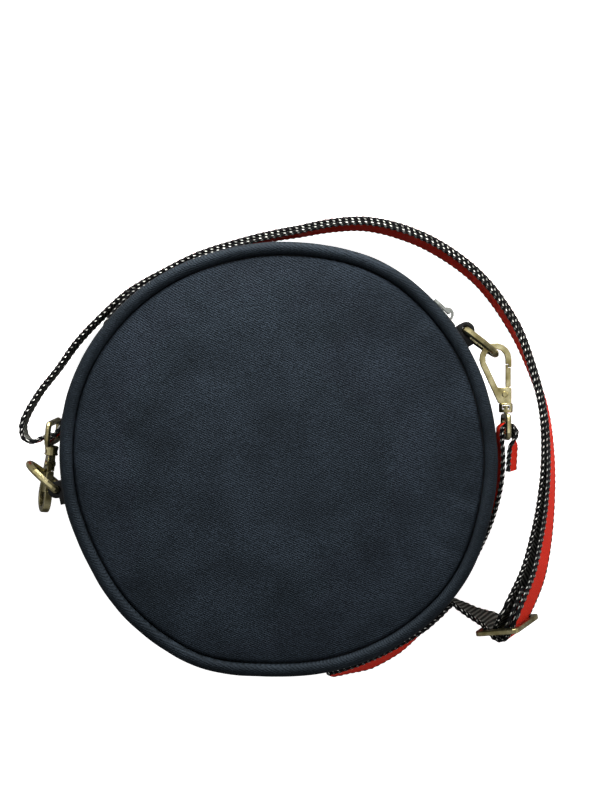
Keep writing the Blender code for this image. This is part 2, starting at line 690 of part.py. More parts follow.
def build_gate(side, holder):
    """Sprung gate: a bar with a stepped tip and a thin tongue on the rivet."""
    rivet = rivet_place()
    plate_top = rivet.y + RIVET_BELOW_TOP
    nose = plate_top + NOSE_END_ABOVE_PLATE
    inner_x = PLATE_RIGHT - NOSE_BAR
    lip = PLATE_RIGHT - NOSE_BAR / 2
    right = inner_x + GATE_BAR
    half = HOOK_THICKNESS / 2
    bar = [(inner_x, plate_top + GAP), (right, plate_top + GAP), (right, nose - STEP_HEIGHT - GAP),
           (lip - GAP, nose - STEP_HEIGHT - GAP), (lip - GAP, nose - GAP), (inner_x, nose - GAP)]
    gate = add_object("gate_" + side, prism(bar, -half, half, flat), "antique brass", holder, rivet)
    bevel_edges(gate, HOOK_BEVEL / 2)
    tongue = arc((rivet.x, rivet.y), TONGUE_RADIUS, 100, 370, 12)
    root = plate_top + 3 * GAP + HOOK_BEVEL
    tongue += [(right - 2 * GAP, root), (inner_x + GAP, root)]
    deep = GATE_TONGUE / 2
    combine(gate, "tongue", prism(tongue, -deep, deep, flat), "UNION", holder)
    through = Vector((0.0, 0.0, half))
    hole = cylinder(rivet - through, rivet + through, RIVET_RADIUS + GAP)
    combine(gate, "bore", hole, "DIFFERENCE", holder)


def build_eye(side, holder):
    """Swivel eye: a rounded wire loop for the webbing, with a headed post into the collar."""
    top = EYE_TO_COLLAR - GAP - EYE_WIRE
    corner = EYE_CORNER
    low, high = corner, top - corner
    path = []
    for z, y, start in ((BAR_Z - corner, high, 0), (corner - BAR_Z, high, 90),
                        (corner - BAR_Z, low, 180), (BAR_Z - corner, low, 270)):
        path += arc((z, y), corner, start, start + 90, 3)
    points = [Vector((0.0, y, z)) for z, y in path]
    eye = add_object("eye_" + side, wire(points, Vector((1.0, 0.0, 0.0)), EYE_WIRE), "antique brass", holder)
    neck = EYE_TO_COLLAR + COLLAR_FLOOR + GAP
    cap = neck + WINDOW_HEIGHT - 2 * GAP
    post = [(0.0, top), (POST_RADIUS, top), (POST_RADIUS, neck), (POST_HEAD_RADIUS, neck),
            (POST_HEAD_RADIUS, cap), (0.0, cap)]
    combine(eye, "post", turned(post, 12), "UNION", holder)


def build_hooks():
    """Both swivel snap hooks at the ends of the strap."""
    places = {}
    for side, sign, out, drop, turn, pitch in (
            ("right", 1, EYE_RIGHT_OUT, 0.0, HOOK_RIGHT_TURN, 0.0),
            ("left", -1, EYE_LEFT_OUT, EYE_LEFT_DROP, HOOK_LEFT_TURN, HOOK_LEFT_PITCH)):
        chord, eye = chord_clock(sign)
        places[side] = (eye, BAG_RADIUS + out, MID_Z - drop, chord + turn, pitch)
    rolls = {"right": (0.0, 0.0), "left": (EYE_LEFT_ROLL, HOOK_LEFT_ROLL)}
    frames = {}
    for side, place in places.items():
        holders = []
        for kind, roll in zip(("eye_swing_", "hook_swivel_"), rolls[side]):
            frame = hook_frame(*place, roll)
            holder = bpy.data.objects.new(kind + side, None)
            bpy.context.scene.collection.objects.link(holder)
            holder.matrix_world = frame
            holders.append(holder)
            if kind == "eye_swing_":
                frames[side] = frame
        build_hook(side, *holders)
    return frames


def slider_axes():
    """Centre of the strap slider and its three axes: along the bars, across them, and its normal."""
    centre = polar(STRAP_SLIDER_CLOCK, STRAP_SLIDER_DISTANCE, STRAP_SLIDER_HEIGHT)
    lean = math.radians(STRAP_SLIDER_LEAN)
    azimuth = math.radians(STRAP_SLIDER_LEAN_AZIMUTH)
    flat_part = Vector((math.cos(azimuth), math.sin(azimuth), 0.0)) * math.sin(lean)
    along = flat_part + Vector((0.0, 0.0, math.cos(lean)))
    yaw = math.radians(STRAP_SLIDER_YAW)
    across = Vector((math.cos(yaw), math.sin(yaw), 0.0))
    across.z = -across.dot(along) / along.z
    across.normalize()
    return centre, along, across, along.cross(across)


def build_strap_slider():
    """Three bar slider: a stamped frame with a round centre bar for the webbing."""
    centre, along, across, normal = slider_axes()
    long_half, wide_half, deep = SLIDER_FRAME_LENGTH / 2, SLIDER_FRAME_WIDTH / 2, SLIDER_FRAME / 2
    corner = SLIDER_OUTER_BAR

    def at(a, b, h):
        return centre + along * a + across * b + normal * h

    rim = []
    for a, b, start in ((1, 1, 0), (-1, 1, 90), (-1, -1, 180), (1, -1, 270)):
        rim += arc((a * (long_half - corner), b * (wide_half - corner)), corner, start, start + 90, 2)
    frame = add_object("strap_slider", prism(rim, -deep, deep, at), "antique brass", None, centre)
    bevel_edges(frame, HOOK_BEVEL)
    slot_half = WEBBING_WIDTH / 2 + SLIDER_EDGE_GAP
    inside = wide_half - SLIDER_OUTER_BAR
    hole = [(-slot_half, -inside), (slot_half, -inside), (slot_half, inside), (-slot_half, inside)]
    combine(frame, "slots", prism(hole, -deep - OVERRUN, deep + OVERRUN, at), "DIFFERENCE")
    reach = along * (slot_half + OVERRUN)
    combine(frame, "centre_bar", cylinder(centre - reach, centre + reach, SLIDER_CENTRE_BAR, 10), "UNION")


def on_edge(clock, radius_share, lift, lean):
    """A webbing station round the bag: lift above the floor and inward lean of its top edge."""
    tilt = math.radians(lean)
    stand = WEBBING_WIDTH / 2 * math.cos(tilt) + WEBBING / 2 * abs(math.sin(tilt)) + GAP
    inward = -polar(clock, 1.0)
    width = inward * math.sin(tilt) + Vector((0.0, 0.0, math.cos(tilt)))
    return polar(clock, BAG_RADIUS * radius_share, stand + lift), width


def leaning(clock, radius_share, lift, lean, toward):
    """A webbing station whose top edge leans toward another clock angle."""
    tilt = math.radians(lean)
    stand = WEBBING_WIDTH / 2 * math.cos(tilt) + WEBBING / 2 * math.sin(tilt) + GAP
    width = polar(toward, math.sin(tilt), math.cos(tilt))
    return polar(clock, BAG_RADIUS * radius_share, stand + lift), width


def doubled(clock, radius_share, lift, lean):
    """A station of the outer layer, raised so that the layer beside it clears the floor."""
    drop = 2 * LAYER_PITCH * math.sin(math.radians(max(lean, 0.0)))
    return on_edge(clock, radius_share, lift + drop, lean)


def lifted(share, place):
    """Lift for a station between the floor and an eye, as a share of that eye's height."""
    return share * (place - WEBBING_WIDTH / 2 - GAP)


def inner_layer(outer, start_pitch):
    """Webbing stations on the bag side of the outer layer, closing up to it, in the other direction."""
    samples, _ = smooth_route(outer)
    result = []
    run = 0.0
    for i, (point, width) in enumerate(samples):
        before = samples[max(i - 1, 0)][0]
        after = samples[min(i + 1, len(samples) - 1)][0]
        run += (point - before).length
        ahead = (after - before).normalized()
        across = (width - ahead * width.dot(ahead)).normalized()
        side = across.cross(ahead)
        apart = max(0.0, 1.0 - run / LAYERS_MEET) ** LAYERS_MEET_POWER_SHARE
        pitch = LAYER_PITCH + (start_pitch - LAYER_PITCH) * apart
        result.append((point + side * pitch, across))
    return list(reversed(result))


def eye_points(frame, shares):
    """Webbing stations at an eye, with their width along its end bar."""
    x, y, z = (frame.col[i].to_3d() * EYE_TO_COLLAR for i in range(3))
    return [(frame.translation + x * a + y * b, z.normalized()) for a, b in shares]


def strap_route(frames):
    """Every stretch of the strap in order, from the sewn end at the right eye to the slider."""
    centre, along, across, normal = slider_axes()
    right_eye = eye_points(frames["right"], EYE_RIGHT_SHARES)
    up = MID_Z
    end_right = [on_edge(113.4, 1.0770, lifted(0.97, up), 15), on_edge(110.4, 1.0780, lifted(0.98, up), 15),
                 on_edge(107.3, 1.0840, lifted(1.0, up), 14)] + right_eye
    hug = [on_edge(109, 1.0275, lifted(1.0, up), 0), on_edge(115, 1.0280, lifted(0.93, up), 0),
           on_edge(122, 1.0265, lifted(0.75, up), 1), on_edge(131, 1.0255, lifted(0.45, up), 2),
           on_edge(141, 1.0255, lifted(0.16, up), 2), on_edge(151, 1.0250, lifted(0.02, up), 2),
           on_edge(165, 1.0260, 0, 5), on_edge(180, 1.0245, 0, 7)]
    hairpin = []
    swing = HAIRPIN_RADIUS / BAG_RADIUS
    for a, b in arc((0, 0), 1.0, -90, 90, 4):
        clock = HAIRPIN_CLOCK + math.degrees(swing * a)
        hairpin.append(on_edge(clock, HAIRPIN_SHARE + swing * b, 0, 9.0 + 2.0 * b))
    back = [on_edge(182.5, 1.0600, 0, 13), on_edge(177, 1.0665, 0, 18), on_edge(169, 1.0660, 0, 15),
            on_edge(160, 1.0610, 0, 4), on_edge(154.5, 1.0590, 0, 1), on_edge(151.8, 1.0590, 0, 0)]

    def at_slider(places):
        return [(centre + across * a + normal * b, along) for a, b in places]

    bar_loop = SLIDER_CENTRE_BAR + GAP + WEBBING / 2
    thread = bar_loop + LAYER_PITCH

    def run_on(radius, angle, distance, heading):
        spot, way = math.radians(angle), math.radians(heading)
        return (radius * math.cos(spot) + distance * math.cos(way),
                radius * math.sin(spot) + distance * math.sin(way))

    left_angle, right_angle = -90.0 - TAIL_HEADING, -90.0 + THREAD_HEADING
    near, far = SLIDER_NEAR, SLIDER_CLEAR
    tail_end = [run_on(thread, left_angle, d, 180.0 - TAIL_HEADING) for d in (SLIDER_TAIL_CLEAR, near)]
    turn = [run_on(thread, left_angle + (right_angle - left_angle) * i / 5, 0.0, 0.0) for i in range(6)]
    leave = [run_on(thread, right_angle, d, THREAD_HEADING) for d in (near, far)]
    lifts = [TAIL_RISE * share for share in TAIL_RISE_SHARES]
    tail = [leaning(150.4, 1.0680, 0, 4, TAIL_AZIMUTH), leaning(149.9, 1.1050, lifts[0], 12, TAIL_AZIMUTH),
            leaning(149.3, 1.1700, lifts[1], 20, TAIL_AZIMUTH)] + at_slider(tail_end)
    rises = [EXIT_RISE * share for share in EXIT_RISE_SHARES]
    outer_right = at_slider(leave) + [
        doubled(135.5, 1.3340, rises[0], 23), doubled(128.8, 1.3120, rises[1], 21),
        doubled(121, 1.2920, rises[2], 17), doubled(110.8, 1.2790, rises[3], 13),
        doubled(100, 1.2770, 0, 9), doubled(90, 1.2730, 0, 3), doubled(80.6, 1.2780, 0, -3)]
    outer_top = [
        doubled(68.6, 1.2755, 0, -5), doubled(57, 1.2510, 0, -7), doubled(48, 1.2215, 0, -7),
        doubled(40, 1.1865, 0, -5), doubled(32.2, 1.1330, 0, -4), doubled(25, 1.0860, 0, -2),
        doubled(17, 1.0580, 0, 0), doubled(8, 1.0390, 0, 0)]
    outer_left = [
        doubled(-2, 1.0365, 0, 0), doubled(-12, 1.0400, 0, 0), doubled(-22.2, 1.0640, 0, 0),
        doubled(-31, 1.0790, 0, 0), doubled(-40.3, 1.1085, 0, 0)]
    eye_up = MID_Z - EYE_LEFT_DROP
    loop_left = [
        on_edge(-48, 1.1340, lifted(0.15, eye_up), 1), on_edge(-55.5, 1.1840, lifted(0.45, eye_up), 1),
        on_edge(-62.3, 1.2190, lifted(0.8, eye_up), -4), on_edge(-65.0, 1.2020, lifted(0.9, eye_up), -6),
        on_edge(-65.9, 1.1630, lifted(0.97, eye_up), -8)]
    loop_left += eye_points(frames["left"], EYE_LEFT_SHARES)
    inner_left = [
        on_edge(-58.2, 1.0225, lifted(0.96, eye_up), 0), on_edge(-56, 1.0205, lifted(0.9, eye_up), 0), on_edge(-53, 1.0190, lifted(0.75, eye_up), 0),
        on_edge(-48, 1.0180, lifted(0.45, eye_up), 0), on_edge(-42.5, 1.0160, lifted(0.12, eye_up), 0),
        on_edge(-37, 1.0180, 0, 0),
        on_edge(-31, 1.0400, 0, 0)]
    doubled_run = outer_right + outer_top + outer_left[:3]
    beside = inner_layer(doubled_run, thread + bar_loop)
    third = len(beside) // 3
    inner_left += beside[:third // 2]
    inner_top, inner_right = beside[third // 2:2 * third], beside[2 * third:]
    wrap = [right_angle - 180.0 * (1 - i / 6) for i in range(7)]
    end_slider = at_slider([run_on(bar_loop, angle, 0.0, 0.0) for angle in wrap])
    end_slider += at_slider([run_on(bar_loop, right_angle, SLIDER_FRAME_WIDTH / 3, THREAD_HEADING)])
    for place in reversed(inner_layer(outer_right, LAYER_PITCH)):
        if SLIDER_FRAME_WIDTH / 2 + RIBBON_STEP < (place[0] - centre).length < FLAP_LENGTH:
            end_slider.append(place)
    stretches = [
        ("strap_end_right", end_right), ("strap_hug", hug), ("strap_hairpin", hairpin),
        ("strap_return", back), ("strap_tail", tail), ("strap_slider_turn", at_slider(turn)),
        ("strap_outer_right", outer_right), ("strap_outer_top", outer_top), ("strap_outer_left", outer_left),
        ("strap_loop_left", loop_left), ("strap_inner_left", inner_left), ("strap_inner_top", inner_top),
        ("strap_inner_right", inner_right), ("strap_end_slider", end_slider)]
    return stretches


def smooth_route(stations):
    """Samples on a centripetal Catmull-Rom curve, and the sample number of each station."""
    samples, numbers = [], []
    last = len(stations) - 1
    for i in range(last):
        numbers.append(len(samples))
        (p0, _), (p1, w1), (p2, w2), (p3, _) = (stations[min(max(i + k, 0), last)] for k in (-1, 0, 1, 2))
        leave, arrive = curve_ends(p0, p1, p2, p3)
        steps = max(1, math.ceil((p2 - p1).length / RIBBON_STEP - STEP_SLACK_SHARE))
        for k in range(steps):
            t = k / steps
            point = (p1 * (2 * t ** 3 - 3 * t ** 2 + 1) + leave * (t ** 3 - 2 * t ** 2 + t)
                     + p2 * (3 * t ** 2 - 2 * t ** 3) + arrive * (t ** 3 - t ** 2))
            samples.append((point, w1.lerp(w2, t).normalized()))
    numbers.append(len(samples))
    samples.append(stations[last])
    return samples, numbers


def curve_ends(p0, p1, p2, p3):
    """Tangents at the middle two of four stations, spaced by the root of their distances."""
    before, span, after = (math.sqrt(length) for length in ((p1 - p0).length, (p2 - p1).length, (p3 - p2).length))
    leave = arrive = p2 - p1
    if before > 0.0:
        leave = p2 - p1 + span * ((p1 - p0) / before - (p2 - p0) / (before + span))
    if after > 0.0:
        arrive = p2 - p1 + span * ((p3 - p2) / after - (p3 - p1) / (span + after))
    return leave, arrive


def ribbon_rings(samples):
    """The webbing's square section at each sample, and the direction that it runs in there."""
    half, deep = WEBBING_WIDTH / 2, WEBBING / 2
    rings = []
    for i, (point, width) in enumerate(samples):
        before = samples[max(i - 1, 0)][0]
        after = samples[min(i + 1, len(samples) - 1)][0]
        ahead = (after - before).normalized()
        across = (width - ahead * width.dot(ahead)).normalized() * half
        side = across.cross(ahead).normalized() * deep
        rings.append(([point + across + side, point + across - side,
                       point - across - side, point - across + side], ahead))
    return rings


def build_strap(frames):
    """The strap, cut face to face into stretches."""
    stretches = strap_route(frames)
    samples, numbers = smooth_route([station for name, part in stretches for station in part])
    rings = ribbon_rings(samples)
    first = 0
    for name, part in stretches:
        last = min(first + len(part), len(numbers) - 1)
        run = [ring for ring, ahead in rings[numbers[first]:numbers[last] + 1]]
        if last < len(numbers) - 1:
            ahead = rings[numbers[last]][1]
            run[-1] = [corner - ahead * GAP for corner in run[-1]]
        add_object(name, loft(run), "red webbing")
        first = last


def main():
    for obj in list(bpy.data.objects):
        bpy.data.objects.remove(obj, do_unlink=True)
    build_panels()
    build_gusset()
    build_zip_teeth()
    build_zip_slider()
    for side, sign in (("right", 1), ("left", -1)):
        build_tab("tab_" + side, sign)
        build_d_ring("d_ring_" + side, sign)
    frames = build_hooks()
    build_strap_slider()
    build_strap(frames)


main()
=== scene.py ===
"""Canvas sling bag: the looks over the CAD frame, with its floor, lights and camera.

Metres, in the CAD's frame: the bag lies on its back, +Z out of the front, +Y to its own top.
A clock angle is measured from +Y, clockwise seen from the front.
"""
import math

import bpy
import bmesh
from mathutils import Matrix, Vector, noise


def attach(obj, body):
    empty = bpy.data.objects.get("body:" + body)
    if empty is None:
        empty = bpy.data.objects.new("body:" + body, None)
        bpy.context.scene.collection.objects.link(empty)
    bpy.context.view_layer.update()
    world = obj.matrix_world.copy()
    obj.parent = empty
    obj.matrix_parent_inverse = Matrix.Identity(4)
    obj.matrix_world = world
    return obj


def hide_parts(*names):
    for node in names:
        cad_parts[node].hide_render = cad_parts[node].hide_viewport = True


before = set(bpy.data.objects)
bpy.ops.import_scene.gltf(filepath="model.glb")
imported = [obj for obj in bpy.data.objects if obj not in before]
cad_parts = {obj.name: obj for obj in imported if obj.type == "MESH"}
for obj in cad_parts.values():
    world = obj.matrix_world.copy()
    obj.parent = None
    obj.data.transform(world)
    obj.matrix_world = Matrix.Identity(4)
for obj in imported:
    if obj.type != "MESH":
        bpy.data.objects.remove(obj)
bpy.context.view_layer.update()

MM = 0.001
FULL_TURN = 360.0
SAME_PLACE = 0.001 * MM

# Shell, as in the CAD
BAG_RADIUS = 95 * MM
BAG_DEPTH = 56 * MM
GAP = 0.3 * MM
PIPING_RADIUS = 3 * MM
BELLY_RISE = 4 * MM
FRONT_CROWN = 4 * MM
CROWN_POWER = 0.6
SEAM_DIP = 2 * MM
BACK_FLAT_SHARE = 0.9
BACK_LIFT = 1.5 * MM
ZIP_OPENING = 12 * MM
TAB_CLOCKS = {1: 75.6, -1: -77.6}
MID_Z = BAG_DEPTH / 2
RIM_CENTRE = BAG_RADIUS - PIPING_RADIUS
PANEL_RADIUS = RIM_CENTRE - PIPING_RADIUS - GAP
GUSSET_BOTTOM = 2 * PIPING_RADIUS + GAP
GUSSET_TOP = BAG_DEPTH - GUSSET_BOTTOM
GUSSET_EDGE_RADIUS = BAG_RADIUS - BELLY_RISE

# Cloth at rest
SWELL = 0.9 * MM
SWELLS_PER_METRE = 17.0
RIPPLE = 0.12 * MM
RIPPLES_PER_METRE = 70.0
CALM_AT_SEAM = 12 * MM
PULL_START = 3 * MM
PULL_END = 2 * MM
SWAY_FROM_SHARE = 0.6
FRONT_RINGS = 60
FRONT_RING_POWER = 0.85
FRONT_COLUMNS = 240
FRONT_SEED = 0.3
BACK_RINGS = 40
BACK_COLUMNS = 200
BACK_STAND = 0.2 * MM
BACK_EASE = 6 * MM
BACK_SWELL = 0.15 * MM
BACK_SWELLS_PER_METRE = 22.0
BACK_SEED = 1.7
PIPING_COLUMNS = 360
PIPING_SIDES = 16
PIPING_LUMP = 0.10 * MM
PIPING_LUMPS_PER_METRE = 120.0
GUSSET_STEP_DEG = 1.2
GUSSET_BAND_ROWS = 20
GUSSET_STRIP_ROWS = 8
GUSSET_END_CLEAR_DEG = 0.2
GUSSET_WAVE = 0.45 * MM
GUSSET_SAG = 0.25 * MM
GUSSET_WAVES_PER_METRE = 24.0
GUSSET_WAVE_HEIGHT_SHARE = 0.6
GUSSET_SEED = 2.0
# The canvas is drawn thinner than its 1.2 mm, so that its swells keep clear of the lining
PANEL_SHEET = 0.9 * MM
GUSSET_SHEET = 0.8 * MM

# Stitches: a spindle between two needle holes, as shares of its length and of the thread's radius
SPINDLE = ((-0.5, 0.35), (-0.25, 1.0), (0.25, 1.0), (0.5, 0.35))
SPINDLE_SIDES = 6
STITCH_SINK_SHARE = 0.8
STITCH_FLATNESS = 0.7
ZIP_STITCH_PITCH = 3.2 * MM
ZIP_STITCH_LENGTH = 2.5 * MM
ZIP_THREAD = 0.22 * MM
ZIP_STITCH_FROM_LIP = 2.0 * MM
ZIP_STITCH_LIFT = 0.15 * MM
ZIP_STITCH_END_DEG = 2.0
TAB_STITCH_PITCH = 2.6 * MM
TAB_STITCH_LENGTH = 2.0 * MM
TAB_THREAD = 0.2 * MM
TAB_STITCH_INSET = 2.0 * MM
TAB_STITCH_FROM_SHARE = 0.42
TAB_STITCH_LIFT = 0.12 * MM

# Leather tabs: the folded form as in the CAD, then how their edges are cut and eased
TAB_THICKNESS = 3.0 * MM
TAB_LENGTH = 10.2 * MM
TAB_ROLL_RADIUS = 3.7 * MM
TAB_ROLL_STEPS = 22
TAB_STEPS = 6
TAB_TOP_FROM_STEP = 3
TAB_EASED_EDGE = 0.3 * MM
TAB_EASED_ANGLE = 50
TAB_SHARP_ANGLE = 35
CUT_END_FACING = 0.7
CUT_END_SHARE = 0.8
D_WIRE = 1.6 * MM
BORE_SIDES = 20
BORE_PAST = 1 * MM

# Webbing, hooks' eyes and strap slider, as in the CAD
WEBBING_WIDTH = 20 * MM
WEBBING = 1.8 * MM
EYE_TO_COLLAR = 10.8 * MM
EYE_RIGHT_ALONG = 48.6 * MM
EYE_RIGHT_OUT = 5.1 * MM
EYE_LEFT_ALONG = 27.97 * MM
EYE_LEFT_OUT = 7.4 * MM
EYE_LEFT_DROP = 7.56 * MM
HOOK_RIGHT_TURN = -69.95
HOOK_LEFT_TURN = -84.8
HOOK_LEFT_PITCH = 5.2
EYE_LEFT_ROLL = -4.3
EYE_RIGHT_SHARES = ((0.355, 0.060), (0.335, 0.280), (0.205, 0.455), (0.0, 0.505), (-0.180, 0.420),
                    (-0.240, 0.260), (-0.240, 0.0))
EYE_LEFT_SHARES = ((0.278, 0.639), (0.037, 0.611), (-0.170, 0.500), (-0.330, 0.270), (-0.440, 0.020))
SLIDER_FRAME_WIDTH = 20.7 * MM
SLIDER_CENTRE_BAR = 1.1 * MM
THREAD_HEADING = 55.0
TAIL_HEADING = 51.0
STRAP_SLIDER_CLOCK = 146.8
STRAP_SLIDER_DISTANCE = 126.1 * MM
STRAP_SLIDER_HEIGHT = 16.7 * MM
STRAP_SLIDER_LEAN = 30.0
STRAP_SLIDER_LEAN_AZIMUTH = 180.0
STRAP_SLIDER_YAW = -12.5
SLIDER_NEAR = 4.1 * MM
SLIDER_CLEAR = 8.5 * MM
SLIDER_TAIL_CLEAR = 6.6 * MM
TAIL_TURN_STEPS = 5
BAR_TURN_STEPS = 6

# Strap route, as in the CAD
ROUTE_STEP = 6 * MM
STEP_SLACK_SHARE = 0.3
LAYER_PITCH = 2.2 * MM
LAYERS_MEET = 100 * MM
LAYERS_MEET_POWER = 1.5
FLAP_LENGTH = 24 * MM
FLAP_STATIONS = 9
# The doubled layers are drawn closer than the solids, which keep a clearance
LAYER_PITCH_SEEN = 1.95 * MM
# A station is a clock, a share of BAG_RADIUS, a share of the lift that its stretch has at its highest, and
# the inward lean of its top edge in degrees
END_AT_RIGHT_EYE = ((113.4, 1.0770, 0.97, 15), (110.4, 1.0780, 0.98, 15), (107.3, 1.0840, 1.0, 14))
HUG = ((109, 1.0275, 1.0, 0), (115, 1.0280, 0.93, 0), (122, 1.0265, 0.75, 1), (131, 1.0255, 0.45, 2),
       (141, 1.0255, 0.16, 2), (151, 1.0250, 0.02, 2), (165, 1.0260, 0, 5), (180, 1.0245, 0, 7))
HAIRPIN_RADIUS = 1.6 * MM
HAIRPIN_CLOCK = 186.8
HAIRPIN_SHARE = 1.0400
HAIRPIN_STEPS = 4
HAIRPIN_LEAN = 9.0
HAIRPIN_LEAN_CHANGE = 2.0
RETURN = ((182.5, 1.0600, 0, 13), (177, 1.0665, 0, 18), (169, 1.0660, 0, 15), (160, 1.0610, 0, 4),
          (154.5, 1.0590, 0, 1), (151.8, 1.0590, 0, 0))
TAIL_RISE = 3.0 * MM
TAIL_AZIMUTH = -76.0
TAIL = ((150.4, 1.0680, 0, 4), (149.9, 1.1050, 0.2, 12), (149.3, 1.1700, 0.55, 20))
EXIT_RISE = 7.6 * MM
OUTER = ((135.5, 1.3340, 1.0, 23), (128.8, 1.3120, 0.61, 21), (121, 1.2920, 0.28, 17), (110.8, 1.2790, 0.08, 13),
         (100, 1.2770, 0, 9), (90, 1.2730, 0, 3), (80.6, 1.2780, 0, -3), (68.6, 1.2755, 0, -4),
         (57, 1.2510, 0, -6), (48, 1.2215, 0, -6), (40, 1.1865, 0, -5), (32.2, 1.1330, 0, -4),
         (25, 1.0860, 0, -2), (17, 1.0580, 0, 0), (8, 1.0390, 0, 0), (-2, 1.0365, 0, 0), (-12, 1.0400, 0, 0),
         (-22.2, 1.0640, 0, 0))
OUTER_LEFT = ((-31, 1.0790, 0, 0), (-40.3, 1.1085, 0, 0))
LOOP_TO_LEFT_EYE = ((-48, 1.1340, 0.15, 1), (-55.5, 1.1840, 0.45, 1), (-62.3, 1.2190, 0.8, 1),
                    (-65.0, 1.2020, 0.9, 1), (-65.9, 1.1630, 0.97, 0))
LOOP_FROM_LEFT_EYE = ((-58.2, 1.0225, 0.96, 0), (-56, 1.0205, 0.9, 0), (-53, 1.0190, 0.75, 0),
                      (-48, 1.0180, 0.45, 0), (-42.5, 1.0160, 0.12, 0), (-37, 1.0180, 0, 0), (-31, 1.0400, 0, 0))

# Webbing as woven: the upper half of its section, as shares of its half width and half thickness
SECTION = ((-1.0, 0.35), (-0.985, 0.85), (-0.94, 1.0), (-0.87, 1.0), (-0.78, 1.0), (-0.3, 1.0), (0.3, 1.0),
           (0.78, 1.0), (0.87, 1.0), (0.94, 1.0), (0.985, 0.85), (1.0, 0.35))
RIBBON_STEP = 0.7 * MM
SELVEDGE_BITE = 0.5 * MM
BITE_FROM_SHARE = 0.9
SELVEDGE_LUMP = 0.3
LUMP_FROM_SHARE = 0.8
LUMP_LEVEL = 0.4
FLAT_FROM_SHARE = 0.8
WEBBING_SHARP_ANGLE = 50

# Sizes of the finishes' marks and patches, each a millimetre over how many of them fit in it
RUBBED_CLOTH = MM / 0.034
RUBBED_METAL = MM / 0.19
LEATHER_TONE = MM / 0.12
UNEVEN_PICKS = MM / 0.42
# These are one to two of the photograph's pixels, as coarse as they need to be to roughen the tone
SLUB = MM / 1.8
WEBBING_YARN = MM / 2.2
EDGE_YARN = MM / 2.4
METAL_MARK = MM / 2.6
LEATHER_PORE = MM / 1.4

# Pitches and slants of the weaves
SELVEDGE_PITCH = 2.8 * MM
PICK_PITCH = 2.8 * MM
RIB_SLANT = 0.12
RED_SLANT = 0.9
# Threads finer than two of the photograph's pixels, 0.86 mm on the bag, don't show. The canvas's twill and the
# webbing's ribs are drawn as coarse as they need to show, and a line may stand for more than one real thread
TWILL_PITCH = 0.9 * MM
RIB_PITCH = 1.9 * MM
RED_PITCH = 1.1 * MM

# Camera, from the photograph: straight down, 900 mm above the front rim
CAMERA_HEIGHT = 956 * MM
CAMERA_X = 17.0 * MM
CAMERA_Y = 21.2 * MM
PICTURE_UP_CLOCK = 20.3
FOCAL_PX = 2097.0
PHOTO_HEIGHT_PX = 800.0
SENSOR_MM = 24.0

# Stage
FLOOR_HALF = 3.0
# The floor lies just under the lowest threads, which swell a little below the solids
FLOOR_DROP = 1.0 * MM
# It is white where it is seen, and darker where gloss mirrors it, which keeps the metal's undersides dark
FLOOR_GLOW = 0.93
FLOOR_TONE = 0.9
FLOOR_TONE_MIRRORED = 0.25
# The room is white where it is seen and dimmer as a light
ROOM_SEEN = 1.0
ROOM_LIGHT = 0.4
# Gloss mirrors a room whose side toward the picture's top is the bright one
BRIGHT_SIDE_FROM, BRIGHT_SIDE_TO = -0.4, 0.2
DARK_SIDE_LIGHT, BRIGHT_SIDE_LIGHT = -0.08, 1.05
LIGHTS_AIM = 30 * MM
# Soft boxes: name, clock, reach on the floor plan, height and side in metres, watts and colour
LIGHTS = (
    ("key", 20.0, 0.42, 0.2, 0.35, 7.0, (1.0, 0.99, 0.97)),
    ("fill", 85.0, 0.85, 0.5, 0.5, 3.5, (1.0, 0.99, 0.98)),
)


def linear(code):
    """An sRGB hex colour as linear values with alpha."""
    values = [int(code[i:i + 2], 16) / 255 for i in (1, 3, 5)]
    return tuple(v / 12.92 if v <= 0.04045 else ((v + 0.055) / 1.055) ** 2.4 for v in values) + (1.0,)


MATH, MIX, RANGE = "ShaderNodeMath", "ShaderNodeMix", "ShaderNodeMapRange"
NOISE, BUMP, PLACES = "ShaderNodeTexNoise", "ShaderNodeBump", "ShaderNodeTexCoord"


def add(tree, kind, inputs, output=0, **settings):
    """Add a shader node with its settings, its inputs set or linked by name or in order, and give one output."""
    made = tree.nodes.new(kind)
    for key, value in settings.items():
        setattr(made, key, value)
    for key, value in inputs.items() if isinstance(inputs, dict) else enumerate(inputs):
        if isinstance(value, bpy.types.NodeSocket):
            tree.links.new(value, made.inputs[key])
        else:
            made.inputs[key].default_value = value
    return made.outputs[output]


def new_material(name, **values):
    """A material with a Principled shader: its tree, shader and place in the frame, in metres."""
    mat = bpy.data.materials.new(name)
    mat.use_nodes = True
    tree = mat.node_tree
    shader = tree.nodes["Principled BSDF"]
    for key, value in values.items():
        shader.inputs[key.replace("_", " ").title().replace("Ior", "IOR")].default_value = value
    return mat, tree, shader, add(tree, PLACES, {}, "Object")


def cover(tree, shader, colour, height, depth, strength):
    """Give a surface its colour, and a relief of a real depth in metres."""
    tree.links.new(colour, shader.inputs["Base Color"])
    relieved = add(tree, BUMP, {"Height": height, "Distance": depth, "Strength": strength}, "Normal")
    tree.links.new(relieved, shader.inputs["Normal"])


